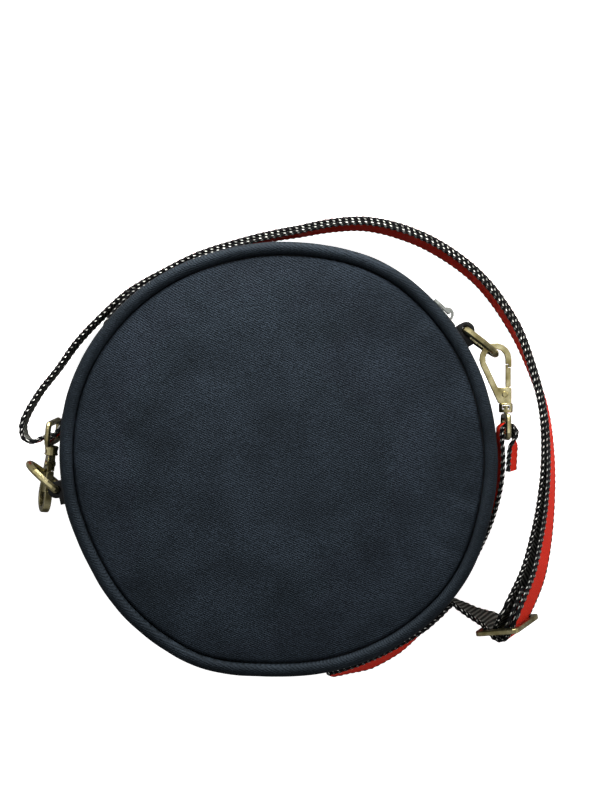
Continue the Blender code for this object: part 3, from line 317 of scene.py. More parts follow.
def canvas_material(name, dark, pale):
    """Dyed cotton canvas, twill woven and dry: near black, whose raised threads catch a cool, dull gloss."""
    mat, tree, shader, place = new_material(name, roughness=0.6, specular_ior_level=0.12)
    shader.inputs["Specular Tint"].default_value = linear("#cfe4fb")
    # Across its bands, a diagonal wave repeats every 2 pi / (10 * sqrt(2) * scale) metres on a flat panel
    twill_scale = 2 * math.pi / (10.0 * math.sqrt(2.0) * TWILL_PITCH)
    twill = add(tree, "ShaderNodeTexWave",
                {"Vector": place, "Scale": twill_scale, "Distortion": 1.0, "Detail": 1.0, "Detail Scale": 3.0},
                "Fac", bands_direction="DIAGONAL")
    slubs = add(tree, NOISE, {"Vector": place, "Scale": 1 / SLUB, "Detail": 0.0}, "Fac")
    threads = add(tree, RANGE, {"Value": slubs, "From Min": 0.44, "From Max": 0.6})
    rubs = add(tree, NOISE, {"Vector": place, "Scale": 1 / RUBBED_CLOTH, "Detail": 4.0, "Roughness": 0.6}, "Fac")
    worn = add(tree, RANGE, {"Value": rubs, "From Min": 0.3, "From Max": 0.68, "To Min": 0.35})
    raised = add(tree, MATH, (threads, 0.7), operation="MULTIPLY")
    weave = add(tree, MATH, (twill, raised), operation="ADD")
    paled = add(tree, MATH, (worn, 0.75), operation="MULTIPLY")
    share = add(tree, MATH, (weave, paled), operation="MULTIPLY")
    colour = add(tree, MIX, {0: share, 6: linear(dark), 7: linear(pale)}, 2, data_type="RGBA")
    cover(tree, shader, colour, weave, 0.1 * MM, 0.9)
    return mat


def webbing_places(tree):
    """Where a point lies on the webbing, in metres: along it, and across its face or its edge."""
    along = add(tree, "ShaderNodeSeparateXYZ", (add(tree, PLACES, {}, "UV"),))
    return along, along.node.outputs[1]


def picks_in_row(tree, along, off, pitch, slant, length_share, width, from_edge, middle):
    """1 inside a row of slanting oval picks whose middle line runs at a distance from the edge."""
    start = add(tree, MATH, (along, off), operation="ADD")
    phase = add(tree, MATH, (from_edge, slant, start), operation="MULTIPLY_ADD")
    turns = add(tree, MATH, (phase, pitch), operation="DIVIDE")
    part = add(tree, MATH, (turns,), operation="FRACT")
    turn = add(tree, MATH, (part, 0.5), operation="SUBTRACT")
    first = add(tree, MATH, (turn, length_share / 2), operation="DIVIDE")
    aside = add(tree, MATH, (from_edge, middle), operation="SUBTRACT")
    second = add(tree, MATH, (aside, width / 2), operation="DIVIDE")
    first_squared = add(tree, MATH, (first, first), operation="MULTIPLY")
    second_squared = add(tree, MATH, (second, second), operation="MULTIPLY")
    reach = add(tree, MATH, (first_squared, second_squared), operation="ADD")
    return add(tree, RANGE, {"Value": reach, "From Min": 1.15, "From Max": 0.75})


def webbing_material(name, ribs, sharpness, dark, pale, picks, border, border_wave):
    """Heavy woven webbing: a ribbed field, black borders and a row of white slanting picks in each.

    The ribs are given as pitch and slant, the picks as slant, share of their pitch, width and distance in. The
    field runs from dark in the ribs' gaps, painted shade, to pale on their crests, painted highlight.
    """
    mat, tree, shader, place = new_material(name, roughness=0.8, specular_ior_level=0.08)
    along, across = webbing_places(tree)
    pitch, slant = ribs
    far_edge = add(tree, MATH, (WEBBING_WIDTH, across), operation="SUBTRACT")
    from_edge = add(tree, MATH, (across, far_edge), operation="MINIMUM")
    slanted = add(tree, MATH, (across, slant, along), operation="MULTIPLY_ADD")
    rib_phase = add(tree, MATH, (slanted, 2 * math.pi / pitch), operation="MULTIPLY")
    rib_wave = add(tree, MATH, (rib_phase,), operation="SINE")
    rib_round = add(tree, MATH, (rib_wave, 0.5, 0.5), operation="MULTIPLY_ADD")
    rib = add(tree, MATH, (rib_round, sharpness), operation="POWER")
    threads = add(tree, NOISE, {"Vector": place, "Scale": 1 / WEBBING_YARN, "Detail": 1.0}, "Fac")
    thread_light = add(tree, MATH, (threads, 0.2), operation="MULTIPLY")
    # Painted rib light: each rib's colour is paler on its crest, painted highlight, and darker in its gap,
    # painted shade
    painted_rib_light = add(tree, MATH, (rib, 0.85, thread_light), operation="MULTIPLY_ADD")
    field = add(tree, MIX, {0: painted_rib_light, 6: linear(dark), 7: linear(pale)}, 2, data_type="RGBA")
    white = picks_in_row(tree, along, 0.0, PICK_PITCH, *picks[:3], from_edge, picks[3])
    turn_phase = add(tree, MATH, (along, 2 * math.pi / PICK_PITCH), operation="MULTIPLY")
    turn_wave = add(tree, MATH, (turn_phase,), operation="SINE")
    border_end = add(tree, MATH, (turn_wave, border_wave, border), operation="MULTIPLY_ADD")
    # The black border takes the same painted rib highlight and shade
    black = add(tree, MIX, {0: painted_rib_light, 6: linear("#010102"), 7: linear("#0b0b0d")}, 2, data_type="RGBA")
    past = add(tree, MATH, (from_edge, border_end), operation="GREATER_THAN")
    edged = add(tree, MIX, {0: past, 6: black, 7: field}, 2, data_type="RGBA")
    thread_white = add(tree, MATH, (threads, 0.9, 0.35), operation="MULTIPLY_ADD")
    bright = add(tree, MATH, (white, thread_white), operation="MULTIPLY")
    colour = add(tree, MIX, {0: bright, 6: edged, 7: linear("#e9e8e2")}, 2, data_type="RGBA")
    raised = add(tree, MATH, (white, 0.8), operation="MULTIPLY")
    height = add(tree, MATH, (rib, raised), operation="ADD")
    cover(tree, shader, colour, height, 0.3 * MM, 0.9)
    return mat


def selvedge_material():
    """The webbing's woven edge: a chain of black turns with a white slanting pick in each."""
    mat, tree, shader, place = new_material("webbing selvedge", roughness=0.8, specular_ior_level=0.08)
    along, depth = webbing_places(tree)
    threads = add(tree, NOISE, {"Vector": place, "Scale": 1 / EDGE_YARN, "Detail": 1.0}, "Fac")
    large = picks_in_row(tree, along, 0.0, SELVEDGE_PITCH, slant=1.2, length_share=0.31, width=0.64 * MM,
                         from_edge=depth, middle=WEBBING * 0.72)
    small = picks_in_row(tree, along, SELVEDGE_PITCH / 2, SELVEDGE_PITCH, slant=-1.0, length_share=0.35,
                         width=0.45 * MM, from_edge=depth, middle=WEBBING * 0.2)
    patches = add(tree, NOISE, {"Vector": place, "Scale": 1 / UNEVEN_PICKS, "Detail": 1.0}, "Fac")
    uneven = add(tree, MATH, (patches, 2.4, -0.45), operation="MULTIPLY_ADD")
    faint = add(tree, MATH, (small, 0.2), operation="MULTIPLY")
    both = add(tree, MATH, (large, faint), operation="MAXIMUM")
    white = add(tree, MATH, (both, uneven), operation="MULTIPLY")
    black = add(tree, MIX, {0: threads, 6: linear("#010101"), 7: linear("#0d0d0f")}, 2, data_type="RGBA")
    colour = add(tree, MIX, {0: white, 6: black, 7: linear("#e8e8e2")}, 2, data_type="RGBA")
    thread_height = add(tree, MATH, (threads, 0.4), operation="MULTIPLY")
    height = add(tree, MATH, (large, thread_height), operation="ADD")
    cover(tree, shader, colour, height, 0.25 * MM, 0.8)
    return mat


def plated_material(name, dark, mid, bright, rough_low, rough_high):
    """Plated metal: a duller coat with soft brighter patches where hands rub it, and fine marks."""
    mat, tree, shader, place = new_material(name, metallic=1.0)
    rubs = add(tree, NOISE, {"Vector": place, "Scale": 1 / RUBBED_METAL, "Detail": 3.0, "Roughness": 0.55}, "Fac")
    marks = add(tree, NOISE, {"Vector": place, "Scale": 1 / METAL_MARK, "Detail": 2.0}, "Fac")
    share = add(tree, RANGE, {"Value": rubs, "From Min": 0.3, "From Max": 0.72})
    base = add(tree, MIX, {0: share, 6: linear(dark), 7: linear(mid)}, 2, data_type="RGBA")
    most_rubbed = add(tree, MATH, (share, share), operation="MULTIPLY")
    marked = add(tree, MATH, (marks, 0.5, 0.2), operation="MULTIPLY_ADD")
    worn = add(tree, MATH, (most_rubbed, marked), operation="MULTIPLY")
    colour = add(tree, MIX, {0: worn, 6: base, 7: linear(bright)}, 2, data_type="RGBA")
    unrubbed = add(tree, MATH, (1.0, share), operation="SUBTRACT")
    rough = add(tree, MATH, (unrubbed, rough_high - rough_low, rough_low), operation="MULTIPLY_ADD")
    tree.links.new(rough, shader.inputs["Roughness"])
    cover(tree, shader, colour, marks, 0.006 * MM, 0.3)
    return mat


def leather_material():
    """Dyed and finished black leather: smooth, with a soft sheen and fine pores."""
    mat, tree, shader, place = new_material("black leather", roughness=0.45, specular_ior_level=0.15)
    pores = add(tree, "ShaderNodeTexVoronoi", {"Vector": place, "Scale": 1 / LEATHER_PORE}, "Distance")
    patches = add(tree, NOISE, {"Vector": place, "Scale": 1 / LEATHER_TONE, "Detail": 2.0}, "Fac")
    colour = add(tree, MIX, {0: patches, 6: linear("#030303"), 7: linear("#0a0a0a")}, 2, data_type="RGBA")
    cover(tree, shader, colour, pores, 0.08 * MM, 0.5)
    return mat


def trim_material(name, dark, pale, roughness, size, depth, metallic=0.0):
    """A small trim material: two close tones in patches of a real size, and a fine relief."""
    mat, tree, shader, place = new_material(name, roughness=roughness, metallic=metallic)
    tone = add(tree, NOISE, {"Vector": place, "Scale": 1 / size, "Detail": 2.0}, "Fac")
    colour = add(tree, MIX, {0: tone, 6: linear(dark), 7: linear(pale)}, 2, data_type="RGBA")
    cover(tree, shader, colour, tone, depth, 0.6)
    return mat


# Metals have three tones and two roughnesses, and trims two tones, a roughness, a patch size and a depth
FINISH = {
    # Woven and dyed, worn in patches: a dark cloth with a barely bluish bloom on its raised threads
    "canvas": canvas_material("navy black canvas", "#010202", "#242b33"),
    # The same cloth drawn tight over a cord, with its pale tone a little darker: painted shade
    "piping": canvas_material("navy black piping canvas", "#010202", "#1e242a"),
    # Fine slanting ribs in two reds: the paler on their crests is partly the red itself and partly painted
    # highlight, the darker in their gaps is painted shade; and a border whose inner line waves with the picks
    "red": webbing_material("red face of webbing", (RED_PITCH, RED_SLANT), 1.0, "#8a0702", "#f5351b",
                            (0.6, 0.4, 0.9 * MM, 1.1 * MM), 2.1 * MM, 0.7 * MM),
    # Broad ribs across the webbing, grey on their crests, partly the charcoal yarn and partly painted highlight,
    # and black in their gaps as painted shade, and a straight border
    "reverse": webbing_material("charcoal reverse of webbing", (RIB_PITCH, RIB_SLANT), 1.9, "#010101", "#72736d",
                                (0.2, 0.45, 1.2 * MM, 1.3 * MM), 2.4 * MM, 0.0),
    "selvedge": selvedge_material(),
    # Brass with an aged plating: a dull greenish yellow, rubbed to a pale one
    "brass": plated_material("antique brass", "#776d45", "#aea479", "#e6dfba", 0.2, 0.36),
    # Die cast and nickel plated without a polish: an even, blurred grey gloss
    "nickel": plated_material("satin nickel", "#5a5d5a", "#7d807c", "#a9aaa5", 0.32, 0.48),
    "leather": leather_material(),
    # Cut through, so its fibres show: a pale, matt band
    "leather edge": trim_material("pale cut edge of leather", "#8d8273", "#b9ae9c", 0.8, MM / 0.9, 0.08 * MM),
    # Spun and twisted hard: a little glossier than the canvas that it crosses
    "thread": trim_material("dark sewing thread", "#0d1116", "#2a323b", 0.6, MM / 3.0, 0.03 * MM),
    # Plain woven and thin: matt, and all but black
    "lining": trim_material("black lining", "#09090a", "#19191b", 0.85, MM / 1.8, 0.05 * MM),
    # Woven close and flat: matt black beside the teeth
    "tape": trim_material("black zip tape", "#08080a", "#1b1b1e", 0.85, MM / 1.6, 0.08 * MM),
    # Moulded plastic: black with a soft highlight on each tooth
    "teeth": trim_material("black moulded teeth", "#0b0b0c", "#17171a", 0.35, MM / 0.7, 0.02 * MM),
    # Rolled thin and hardened: a plain grey metal shine
    "steel": trim_material("spring steel", "#77777a", "#a5a5a8", 0.3, MM / 0.9, 0.01 * MM, 1.0),
}


def polar(clock, radius, z=0.0):
    """A point at a clock angle and radius from the bag's axis."""
    angle = math.radians(clock)
    return Vector((radius * math.sin(angle), radius * math.cos(angle), z))


def arc(centre, radius, start, end, steps):
    """Points on a circle in a plane, from one angle to another in degrees."""
    points = []
    for i in range(steps + 1):
        angle = math.radians(start + (end - start) * i / steps)
        points.append((centre[0] + radius * math.cos(angle), centre[1] + radius * math.sin(angle)))
    return points


def clocks_round(count):
    """Clock angles evenly spaced all the way round the bag."""
    return [FULL_TURN * k / count for k in range(count)]


def ramp(value, low, high):
    """0 below low, 1 above high, and smooth between."""
    share = min(1.0, max(0.0, (value - low) / (high - low)))
    return share * share * (3 - 2 * share)


def place_piece(obj, nodes=()):
    """Tie a finished piece to the bag's body, and hide the CAD nodes that it stands for."""
    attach(obj, "bag")
    if nodes:
        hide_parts(*nodes)


def mesh_object(name, bm, finishes):
    """A smooth object from a bmesh with its materials in order."""
    bmesh.ops.remove_doubles(bm, verts=bm.verts, dist=SAME_PLACE)
    bmesh.ops.recalc_face_normals(bm, faces=bm.faces)
    mesh = bpy.data.meshes.new(name)
    bm.to_mesh(mesh)
    bm.free()
    mesh.shade_smooth()
    for finish in finishes:
        mesh.materials.append(FINISH[finish])
    obj = bpy.data.objects.new(name, mesh)
    bpy.context.scene.collection.objects.link(obj)
    return obj


def skin(rows, wrap_rows=False, wrap_columns=False, caps=False):
    """A quad skin through rows of points."""
    bm = bmesh.new()
    loops = [[bm.verts.new(point) for point in row] for row in rows]
    count = len(loops[0])
    for i in range(len(loops) if wrap_rows else len(loops) - 1):
        lower, upper = loops[i], loops[(i + 1) % len(loops)]
        for j in range(count if wrap_columns else count - 1):
            k = (j + 1) % count
            bm.faces.new((lower[j], lower[k], upper[k], upper[j]))
    if caps:
        bm.faces.new(loops[0])
        bm.faces.new(loops[-1])
    return bm


def thicken(obj, thickness, direction):
    """Give a sheet its thickness, on one side of it."""
    modifier = obj.modifiers.new("thickness", "SOLIDIFY")
    modifier.thickness = thickness
    modifier.offset = direction
    modifier.use_even_offset = True


# How far the front rim sways out from its circle in mm, by clock
SWAY = (
    (-166, -1.4), (-160, -1.7), (-154, -1.4), (-148, -0.5), (-142, 1.4), (-136, 1.4), (-130, 1.2), (-124, 0.5),
    (-118, 1.0), (-112, 0.4), (-106, -0.3), (-100, -0.4), (-94, -1.5), (-88, -0.4), (-70, 0.0), (-52, 1.2),
    (-46, 1.4), (-40, 1.0), (-22, 0.5), (-10, 0.0), (-4, -0.6), (2, -0.9), (8, -1.3), (14, -0.9), (26, -0.9),
    (32, -0.4), (38, 0.3), (44, 0.9), (50, 1.5), (56, 1.0), (70, 0.0), (92, -0.9), (98, -1.3), (104, -1.3),
    (116, -0.9), (122, -1.3), (128, -0.9), (134, 0.0), (140, 0.5), (146, 1.0), (165, 0.0),
)
SWAY_EVENED_OVER = (-7.0, -4.7, -2.3, 0.0, 2.3, 4.7, 7.0)


def sway(clock):
    """The rim's sway in metres at a clock angle: the measured ones, evened out over a few degrees."""
    total = 0.0
    for off in SWAY_EVENED_OVER:
        spot = (clock + off - SWAY[0][0]) % FULL_TURN + SWAY[0][0]
        for (c0, v0), (c1, v1) in zip(SWAY, SWAY[1:] + ((SWAY[0][0] + FULL_TURN, SWAY[0][1]),)):
            if c0 <= spot <= c1:
                total += v0 + (v1 - v0) * (spot - c0) / (c1 - c0)
                break
    return total / len(SWAY_EVENED_OVER) * MM


# Soft pulls in the canvas beside the seam, as clock, depth, half width in degrees and reach inward
PULLS = (
    (121.6, 0.55 * MM, 2.0, 22 * MM), (126.0, -0.35 * MM, 2.4, 16 * MM), (138.1, 0.50 * MM, 1.8, 20 * MM),
    (65.3, 0.45 * MM, 2.2, 18 * MM), (70.5, -0.30 * MM, 2.0, 14 * MM), (-68.0, 0.40 * MM, 2.0, 18 * MM),
    (-112.0, 0.35 * MM, 2.2, 20 * MM), (170.0, 0.40 * MM, 2.4, 18 * MM), (10.0, 0.35 * MM, 2.4, 16 * MM),
    (-24.0, 0.30 * MM, 2.0, 14 * MM), (-160.0, 0.35 * MM, 2.0, 18 * MM), (35.0, 0.25 * MM, 2.0, 12 * MM),
)
PULL_FADES_IN_WIDTHS = 4


def relief(clock, radius, seed):
    """How far the cloth stands off its plain form: wide swells, small ripples and pulls at the seam."""
    spot = polar(clock, radius, seed)
    inner = 1.0 - ramp(radius, PANEL_RADIUS - CALM_AT_SEAM, PANEL_RADIUS)
    height = SWELL * noise.noise(spot * SWELLS_PER_METRE) * inner
    height += RIPPLE * noise.noise(spot * RIPPLES_PER_METRE) * inner
    for pull_clock, depth, width, reach in PULLS:
        off = (clock - pull_clock + FULL_TURN / 2) % FULL_TURN - FULL_TURN / 2
        if abs(off) < PULL_FADES_IN_WIDTHS * width:
            rise = ramp(radius, PANEL_RADIUS - reach, PANEL_RADIUS - PULL_START)
            fall = 1.0 - ramp(radius, PANEL_RADIUS - PULL_END, PANEL_RADIUS)
            height -= depth * math.exp(-(off / width) ** 2) * rise * fall
    return height


def make_front():
    """Front panel: crowned canvas that pulls down into the piping seam."""
    rows = []
    for i in range(FRONT_RINGS + 1):
        radius = PANEL_RADIUS * (i / FRONT_RINGS) ** FRONT_RING_POWER
        share = min(1.0, radius / PANEL_RADIUS)
        z = BAG_DEPTH - SEAM_DIP + FRONT_CROWN * (1 - share * share) ** CROWN_POWER
        out = ramp(radius, PANEL_RADIUS * SWAY_FROM_SHARE, PANEL_RADIUS)
        rows.append([polar(c, radius + sway(c) * out, z + relief(c, radius, FRONT_SEED))
                     for c in clocks_round(FRONT_COLUMNS)])
    obj = mesh_object("front_canvas", skin(rows, wrap_columns=True), ["canvas"])
    thicken(obj, PANEL_SHEET, -1.0)
    place_piece(obj, ["front_panel"])


def make_back():
    """Back panel: flat where it rests, lifting a little to the seam."""
    rows = []
    for i in range(BACK_RINGS + 1):
        radius = PANEL_RADIUS * i / BACK_RINGS
        lift = BACK_LIFT * ramp(radius, PANEL_RADIUS * BACK_FLAT_SHARE - BACK_EASE, PANEL_RADIUS)
        row = []
        for clock in clocks_round(BACK_COLUMNS):
            swell = BACK_SWELL * noise.noise(polar(clock, radius, BACK_SEED) * BACK_SWELLS_PER_METRE)
            row.append(polar(clock, radius, lift + BACK_STAND + swell))
        rows.append(row)
    obj = mesh_object("back_canvas", skin(rows, wrap_columns=True), ["canvas"])
    thicken(obj, PANEL_SHEET, 1.0)
    place_piece(obj, ["back_panel"])


def make_piping(name, z, node, sway_share):
    """A corded piping: the cloth shows the cord's slight lumps and its own small gathers."""
    rows = []
    for clock in clocks_round(PIPING_COLUMNS):
        lump = PIPING_LUMP * noise.noise(polar(clock, BAG_RADIUS, z) * PIPING_LUMPS_PER_METRE)
        out = sway(clock) * sway_share
        section = arc((0, 0), PIPING_RADIUS - PIPING_LUMP + lump, 0, 360, PIPING_SIDES)[:-1]
        rows.append([polar(clock, RIM_CENTRE + a + out, z + b) for a, b in section])
    obj = mesh_object(name, skin(rows, wrap_rows=True, wrap_columns=True), ["piping"])
    place_piece(obj, [node])


def barrel_radius(z):
    """Outer radius of the bulging gusset at a height."""
    share = (z - MID_Z) / (GUSSET_TOP - MID_Z)
    return GUSSET_EDGE_RADIUS + BELLY_RISE * (1 - share * share)


def make_gusset(name, start, end, low, high, node, steps):
    """A stretch of the side band, with a soft sag between its seams."""
    columns = int((end - start) / GUSSET_STEP_DEG)
    rows = []
    for i in range(steps + 1):
        z = low + (high - low) * i / steps
        slack = math.sin(math.pi * i / steps)
        out_share = ramp(z, MID_Z, GUSSET_TOP)
        row = []
        for k in range(columns + 1):
            clock = start + (end - start) * k / columns
            spot = polar(clock, BAG_RADIUS, z * GUSSET_WAVE_HEIGHT_SHARE + GUSSET_SEED)
            wave = GUSSET_WAVE * noise.noise(spot * GUSSET_WAVES_PER_METRE) - GUSSET_SAG
            row.append(polar(clock, barrel_radius(z) + wave * slack + sway(clock) * out_share, z))
        rows.append(row)
    obj = mesh_object(name, skin(rows), ["canvas"])
    thicken(obj, GUSSET_SHEET, 1.0)
    place_piece(obj, [node])


def stitch_row(bm, points, ups, length, thread):
    """Add a row of sewn stitches, each a flat spindle on the surface between two needle holes."""
    turns = [2 * math.pi * k / SPINDLE_SIDES for k in range(SPINDLE_SIDES)]
    for point, ahead, up in zip(points, points[1:], ups):
        run = (ahead - point).normalized()
        side = run.cross(up).normalized()
        middle = (point + ahead) / 2
        rings = []
        for share, size in SPINDLE:
            centre = middle + run * (share * length) + up * (thread * (size - STITCH_SINK_SHARE))
            rings.append([centre + (side * math.cos(a) + up * math.sin(a) * STITCH_FLATNESS) * thread * size
                          for a in turns])
        loops = [[bm.verts.new(p) for p in ring] for ring in rings]
        for lower, upper in zip(loops, loops[1:]):
            for j in range(SPINDLE_SIDES):
                k = (j + 1) % SPINDLE_SIDES
                bm.faces.new((lower[j], lower[k], upper[k], upper[j]))
        bm.faces.new(loops[0])
        bm.faces.new(loops[-1])


def make_zip_stitches():
    """Top stitching along both lips of the zip opening."""
    step = math.degrees(ZIP_STITCH_PITCH / BAG_RADIUS)
    count = int((TAB_CLOCKS[1] - TAB_CLOCKS[-1] - 2 * ZIP_STITCH_END_DEG) / step)
    clocks = [TAB_CLOCKS[-1] + ZIP_STITCH_END_DEG + step * i for i in range(count + 1)]
    ups = [polar(c, 1.0) for c in clocks]
    for side, sign in (("front", 1), ("back", -1)):
        bm = bmesh.new()
        z = MID_Z + sign * (ZIP_OPENING / 2 + ZIP_STITCH_FROM_LIP)
        points = [polar(c, barrel_radius(z) + ZIP_STITCH_LIFT, z) for c in clocks]
        stitch_row(bm, points, ups, ZIP_STITCH_LENGTH, ZIP_THREAD)
        place_piece(mesh_object("zip_stitches_" + side, bm, ["thread"]))


def make_tab(side, sign):
    """Folded leather strip: a stitched block on the gusset and a roll that holds the D ring."""
    radius = BAG_RADIUS + GAP + TAB_ROLL_RADIUS
    outward = polar(TAB_CLOCKS[sign], 1.0)
    along = polar(TAB_CLOCKS[sign] + sign * 90.0, 1.0)
    base, top = BAG_RADIUS + GAP, BAG_RADIUS + GAP + TAB_THICKNESS
    meet = math.degrees(math.asin((radius - top) / TAB_ROLL_RADIUS))
    roll = arc((0.0, radius), TAB_ROLL_RADIUS, -meet, 180 + meet, TAB_ROLL_STEPS)
    near = roll[-1][0]
    half = WEBBING_WIDTH / 2
    stops = [near + TAB_LENGTH * i / TAB_STEPS for i in range(TAB_STEPS + 1)]

    def curved(a, r):
        angle = a / BAG_RADIUS
        return r * math.sin(angle), r * math.cos(angle)

    def at(a, r, z):
        return along * a + outward * r + Vector((0.0, 0.0, MID_Z + z))

    under = [curved(a, base) for a in stops]
    over = [curved(a, top) for a in reversed(stops[TAB_TOP_FROM_STEP:])]
    outline = under + over + roll
    bm = skin([[at(a, r, z) for a, r in outline] for z in (-half, half)], wrap_columns=True, caps=True)
    bmesh.ops.recalc_face_normals(bm, faces=bm.faces)
    for face in bm.faces:
        at_end = face.calc_center_median().dot(along) > near + TAB_LENGTH * CUT_END_SHARE
        face.material_index = 1 if at_end and face.normal.dot(along) > CUT_END_FACING else 0
    obj = mesh_object("tab_leather_" + side, bm, ["leather", "leather edge"])
    bore_section = arc((0.0, radius), D_WIRE + GAP, 0, 360, BORE_SIDES)[:-1]
    bore = skin([[at(a, r, z) for a, r in bore_section] for z in (-half - BORE_PAST, half + BORE_PAST)],
                wrap_columns=True, caps=True)
    tool = mesh_object("tab_bore_" + side, bore, ["leather"])
    cut = obj.modifiers.new("bore", "BOOLEAN")
    cut.operation, cut.solver, cut.object = "DIFFERENCE", "EXACT", tool
    ease = obj.modifiers.new("eased", "BEVEL")
    ease.width, ease.segments, ease.angle_limit = TAB_EASED_EDGE, 2, math.radians(TAB_EASED_ANGLE)
    bpy.context.view_layer.update()
    depsgraph = bpy.context.evaluated_depsgraph_get()
    made = bpy.data.meshes.new_from_object(obj.evaluated_get(depsgraph))
    obj.modifiers.clear()
    obj.data = made
    made.set_sharp_from_angle(angle=math.radians(TAB_SHARP_ANGLE))
    bpy.data.objects.remove(tool, do_unlink=True)
    place_piece(obj, ["tab_" + side])

    bm = bmesh.new()
    low_a, high_a = near + TAB_LENGTH * TAB_STITCH_FROM_SHARE, near + TAB_LENGTH - TAB_STITCH_INSET
    z = half - TAB_STITCH_INSET
    corners = [(low_a, -z), (high_a, -z), (high_a, z), (low_a, z), (low_a, -z)]
    for (a0, z0), (a1, z1) in zip(corners, corners[1:]):
        count = max(1, round(math.hypot(a1 - a0, z1 - z0) / TAB_STITCH_PITCH))
        points, ups = [], []
        for i in range(count + 1):
            a, h = a0 + (a1 - a0) * i / count, z0 + (z1 - z0) * i / count
            points.append(at(*curved(a, top + TAB_STITCH_LIFT), h))
            ups.append((along * math.sin(a / BAG_RADIUS) + outward * math.cos(a / BAG_RADIUS)).normalized())
        stitch_row(bm, points, ups, TAB_STITCH_LENGTH, TAB_THREAD)
    place_piece(mesh_object("tab_stitches_" + side, bm, ["thread"]))


def eye_frame(sign, along, out, drop, turn, pitch, roll):
    """Frame of a swivel eye: +Y along the hook, +Z along the webbing's bar."""
    clock = TAB_CLOCKS[sign] + math.degrees(along / BAG_RADIUS)
    tip = math.radians(pitch)
    y = polar((TAB_CLOCKS[sign] + clock) / 2 + turn, math.cos(tip), -math.sin(tip))
    h = Vector((y.y, -y.x, 0.0)).normalized()
    v = h.cross(y)
    angle = math.radians(roll)
    x = h * math.cos(angle) + v * math.sin(angle)
    matrix = Matrix((x, y, x.cross(y))).transposed().to_4x4()
    matrix.translation = polar(clock, BAG_RADIUS + out, MID_Z - drop)
    return matrix


def slider_axes():
    """Centre of the strap slider and its three axes: along the bars, across them, and its normal."""
    centre = polar(STRAP_SLIDER_CLOCK, STRAP_SLIDER_DISTANCE, STRAP_SLIDER_HEIGHT)
    lean = math.radians(STRAP_SLIDER_LEAN)
    azimuth = math.radians(STRAP_SLIDER_LEAN_AZIMUTH)
    along = Vector((math.cos(azimuth), math.sin(azimuth), 0.0)) * math.sin(lean)
    along.z = math.cos(lean)
    yaw = math.radians(STRAP_SLIDER_YAW)
    across = Vector((math.cos(yaw), math.sin(yaw), 0.0))
    across.z = -across.dot(along) / along.z
    across.normalize()
    return centre, along, across, along.cross(across)


def on_edge(clock, radius_share, lift, lean):
    """A webbing station round the bag: lift above the floor and inward lean of its top edge."""
    tilt = math.radians(lean)
    stand = WEBBING_WIDTH / 2 * math.cos(tilt) + WEBBING / 2 * abs(math.sin(tilt)) + GAP
    width = -polar(clock, 1.0) * math.sin(tilt) + Vector((0.0, 0.0, math.cos(tilt)))
    return polar(clock, BAG_RADIUS * radius_share, stand + lift), width


def leaning(clock, radius_share, lift, lean):
    """A webbing station of the tail, whose top edge leans toward TAIL_AZIMUTH."""
    tilt = math.radians(lean)
    stand = WEBBING_WIDTH / 2 * math.cos(tilt) + WEBBING / 2 * math.sin(tilt) + GAP
    width = polar(TAIL_AZIMUTH, math.sin(tilt), math.cos(tilt))
    return polar(clock, BAG_RADIUS * radius_share, stand + lift), width


def doubled(clock, radius_share, lift, lean):
    """A station of the outer layer, raised so that the layer beside it clears the floor."""
    drop = 2 * LAYER_PITCH * math.sin(math.radians(max(lean, 0.0)))
    return on_edge(clock, radius_share, lift + drop, lean)


def stations(table, rise, station=on_edge):
    """The webbing stations of a table, whose lifts are shares of a rise above the floor."""
    return [station(clock, radius_share, lift * rise, lean) for clock, radius_share, lift, lean in table]


def curve_ends(p0, p1, p2, p3):
    """Tangents at the middle two of four stations, spaced by the root of their distances."""
    before, span, after = (math.sqrt(v.length) for v in (p1 - p0, p2 - p1, p3 - p2))
    leave = arrive = p2 - p1
    if before > 0.0:
        leave = p2 - p1 + span * ((p1 - p0) / before - (p2 - p0) / (before + span))
    if after > 0.0:
        arrive = p2 - p1 + span * ((p3 - p2) / after - (p3 - p1) / (span + after))
    return leave, arrive


def smooth_route(route, step):
    """Samples on a centripetal Catmull-Rom curve through the stations."""
    samples = []
    last = len(route) - 1
    for i in range(last):
        (p0, _), (p1, w1), (p2, w2), (p3, _) = (route[min(max(i + k, 0), last)] for k in (-1, 0, 1, 2))
        leave, arrive = curve_ends(p0, p1, p2, p3)
        steps = max(1, math.ceil((p2 - p1).length / step - STEP_SLACK_SHARE))
        for k in range(steps):
            t = k / steps
            point = (p1 * (2 * t ** 3 - 3 * t ** 2 + 1) + leave * (t ** 3 - 2 * t ** 2 + t)
                     + p2 * (3 * t ** 2 - 2 * t ** 3) + arrive * (t ** 3 - t ** 2))
            samples.append((point, w1.lerp(w2, t).normalized()))
    samples.append(route[last])
    return samples


def directions(samples, i):
    """Directions at a sample of the webbing: ahead along it, and across its width."""
    before, after = samples[max(i - 1, 0)][0], samples[min(i + 1, len(samples) - 1)][0]
    ahead = (after - before).normalized()
    width = samples[i][1]
    return ahead, (width - ahead * width.dot(ahead)).normalized()


def inner_layer(outer, start_pitch, end_pitch):
    """Webbing stations on the bag side of the outer layer, closing up to it, in the other direction."""
    samples = smooth_route(outer, ROUTE_STEP)
    result = []
    run = 0.0
    for i, (point, _) in enumerate(samples):
        run += (point - samples[max(i - 1, 0)][0]).length
        ahead, across = directions(samples, i)
        apart = max(0.0, 1.0 - run / LAYERS_MEET) ** LAYERS_MEET_POWER
        pitch = end_pitch + (start_pitch - end_pitch) * apart
        result.append((point + across.cross(ahead) * pitch, across))
    return list(reversed(result))


def eye_points(matrix, shares):
    """Webbing stations at an eye: shares of its length outward and along the hook, width along its end bar."""
    x, y, z = (matrix.col[i].to_3d() for i in range(3))
    return [(matrix.translation + (x * a + y * b) * EYE_TO_COLLAR, z) for a, b in shares]


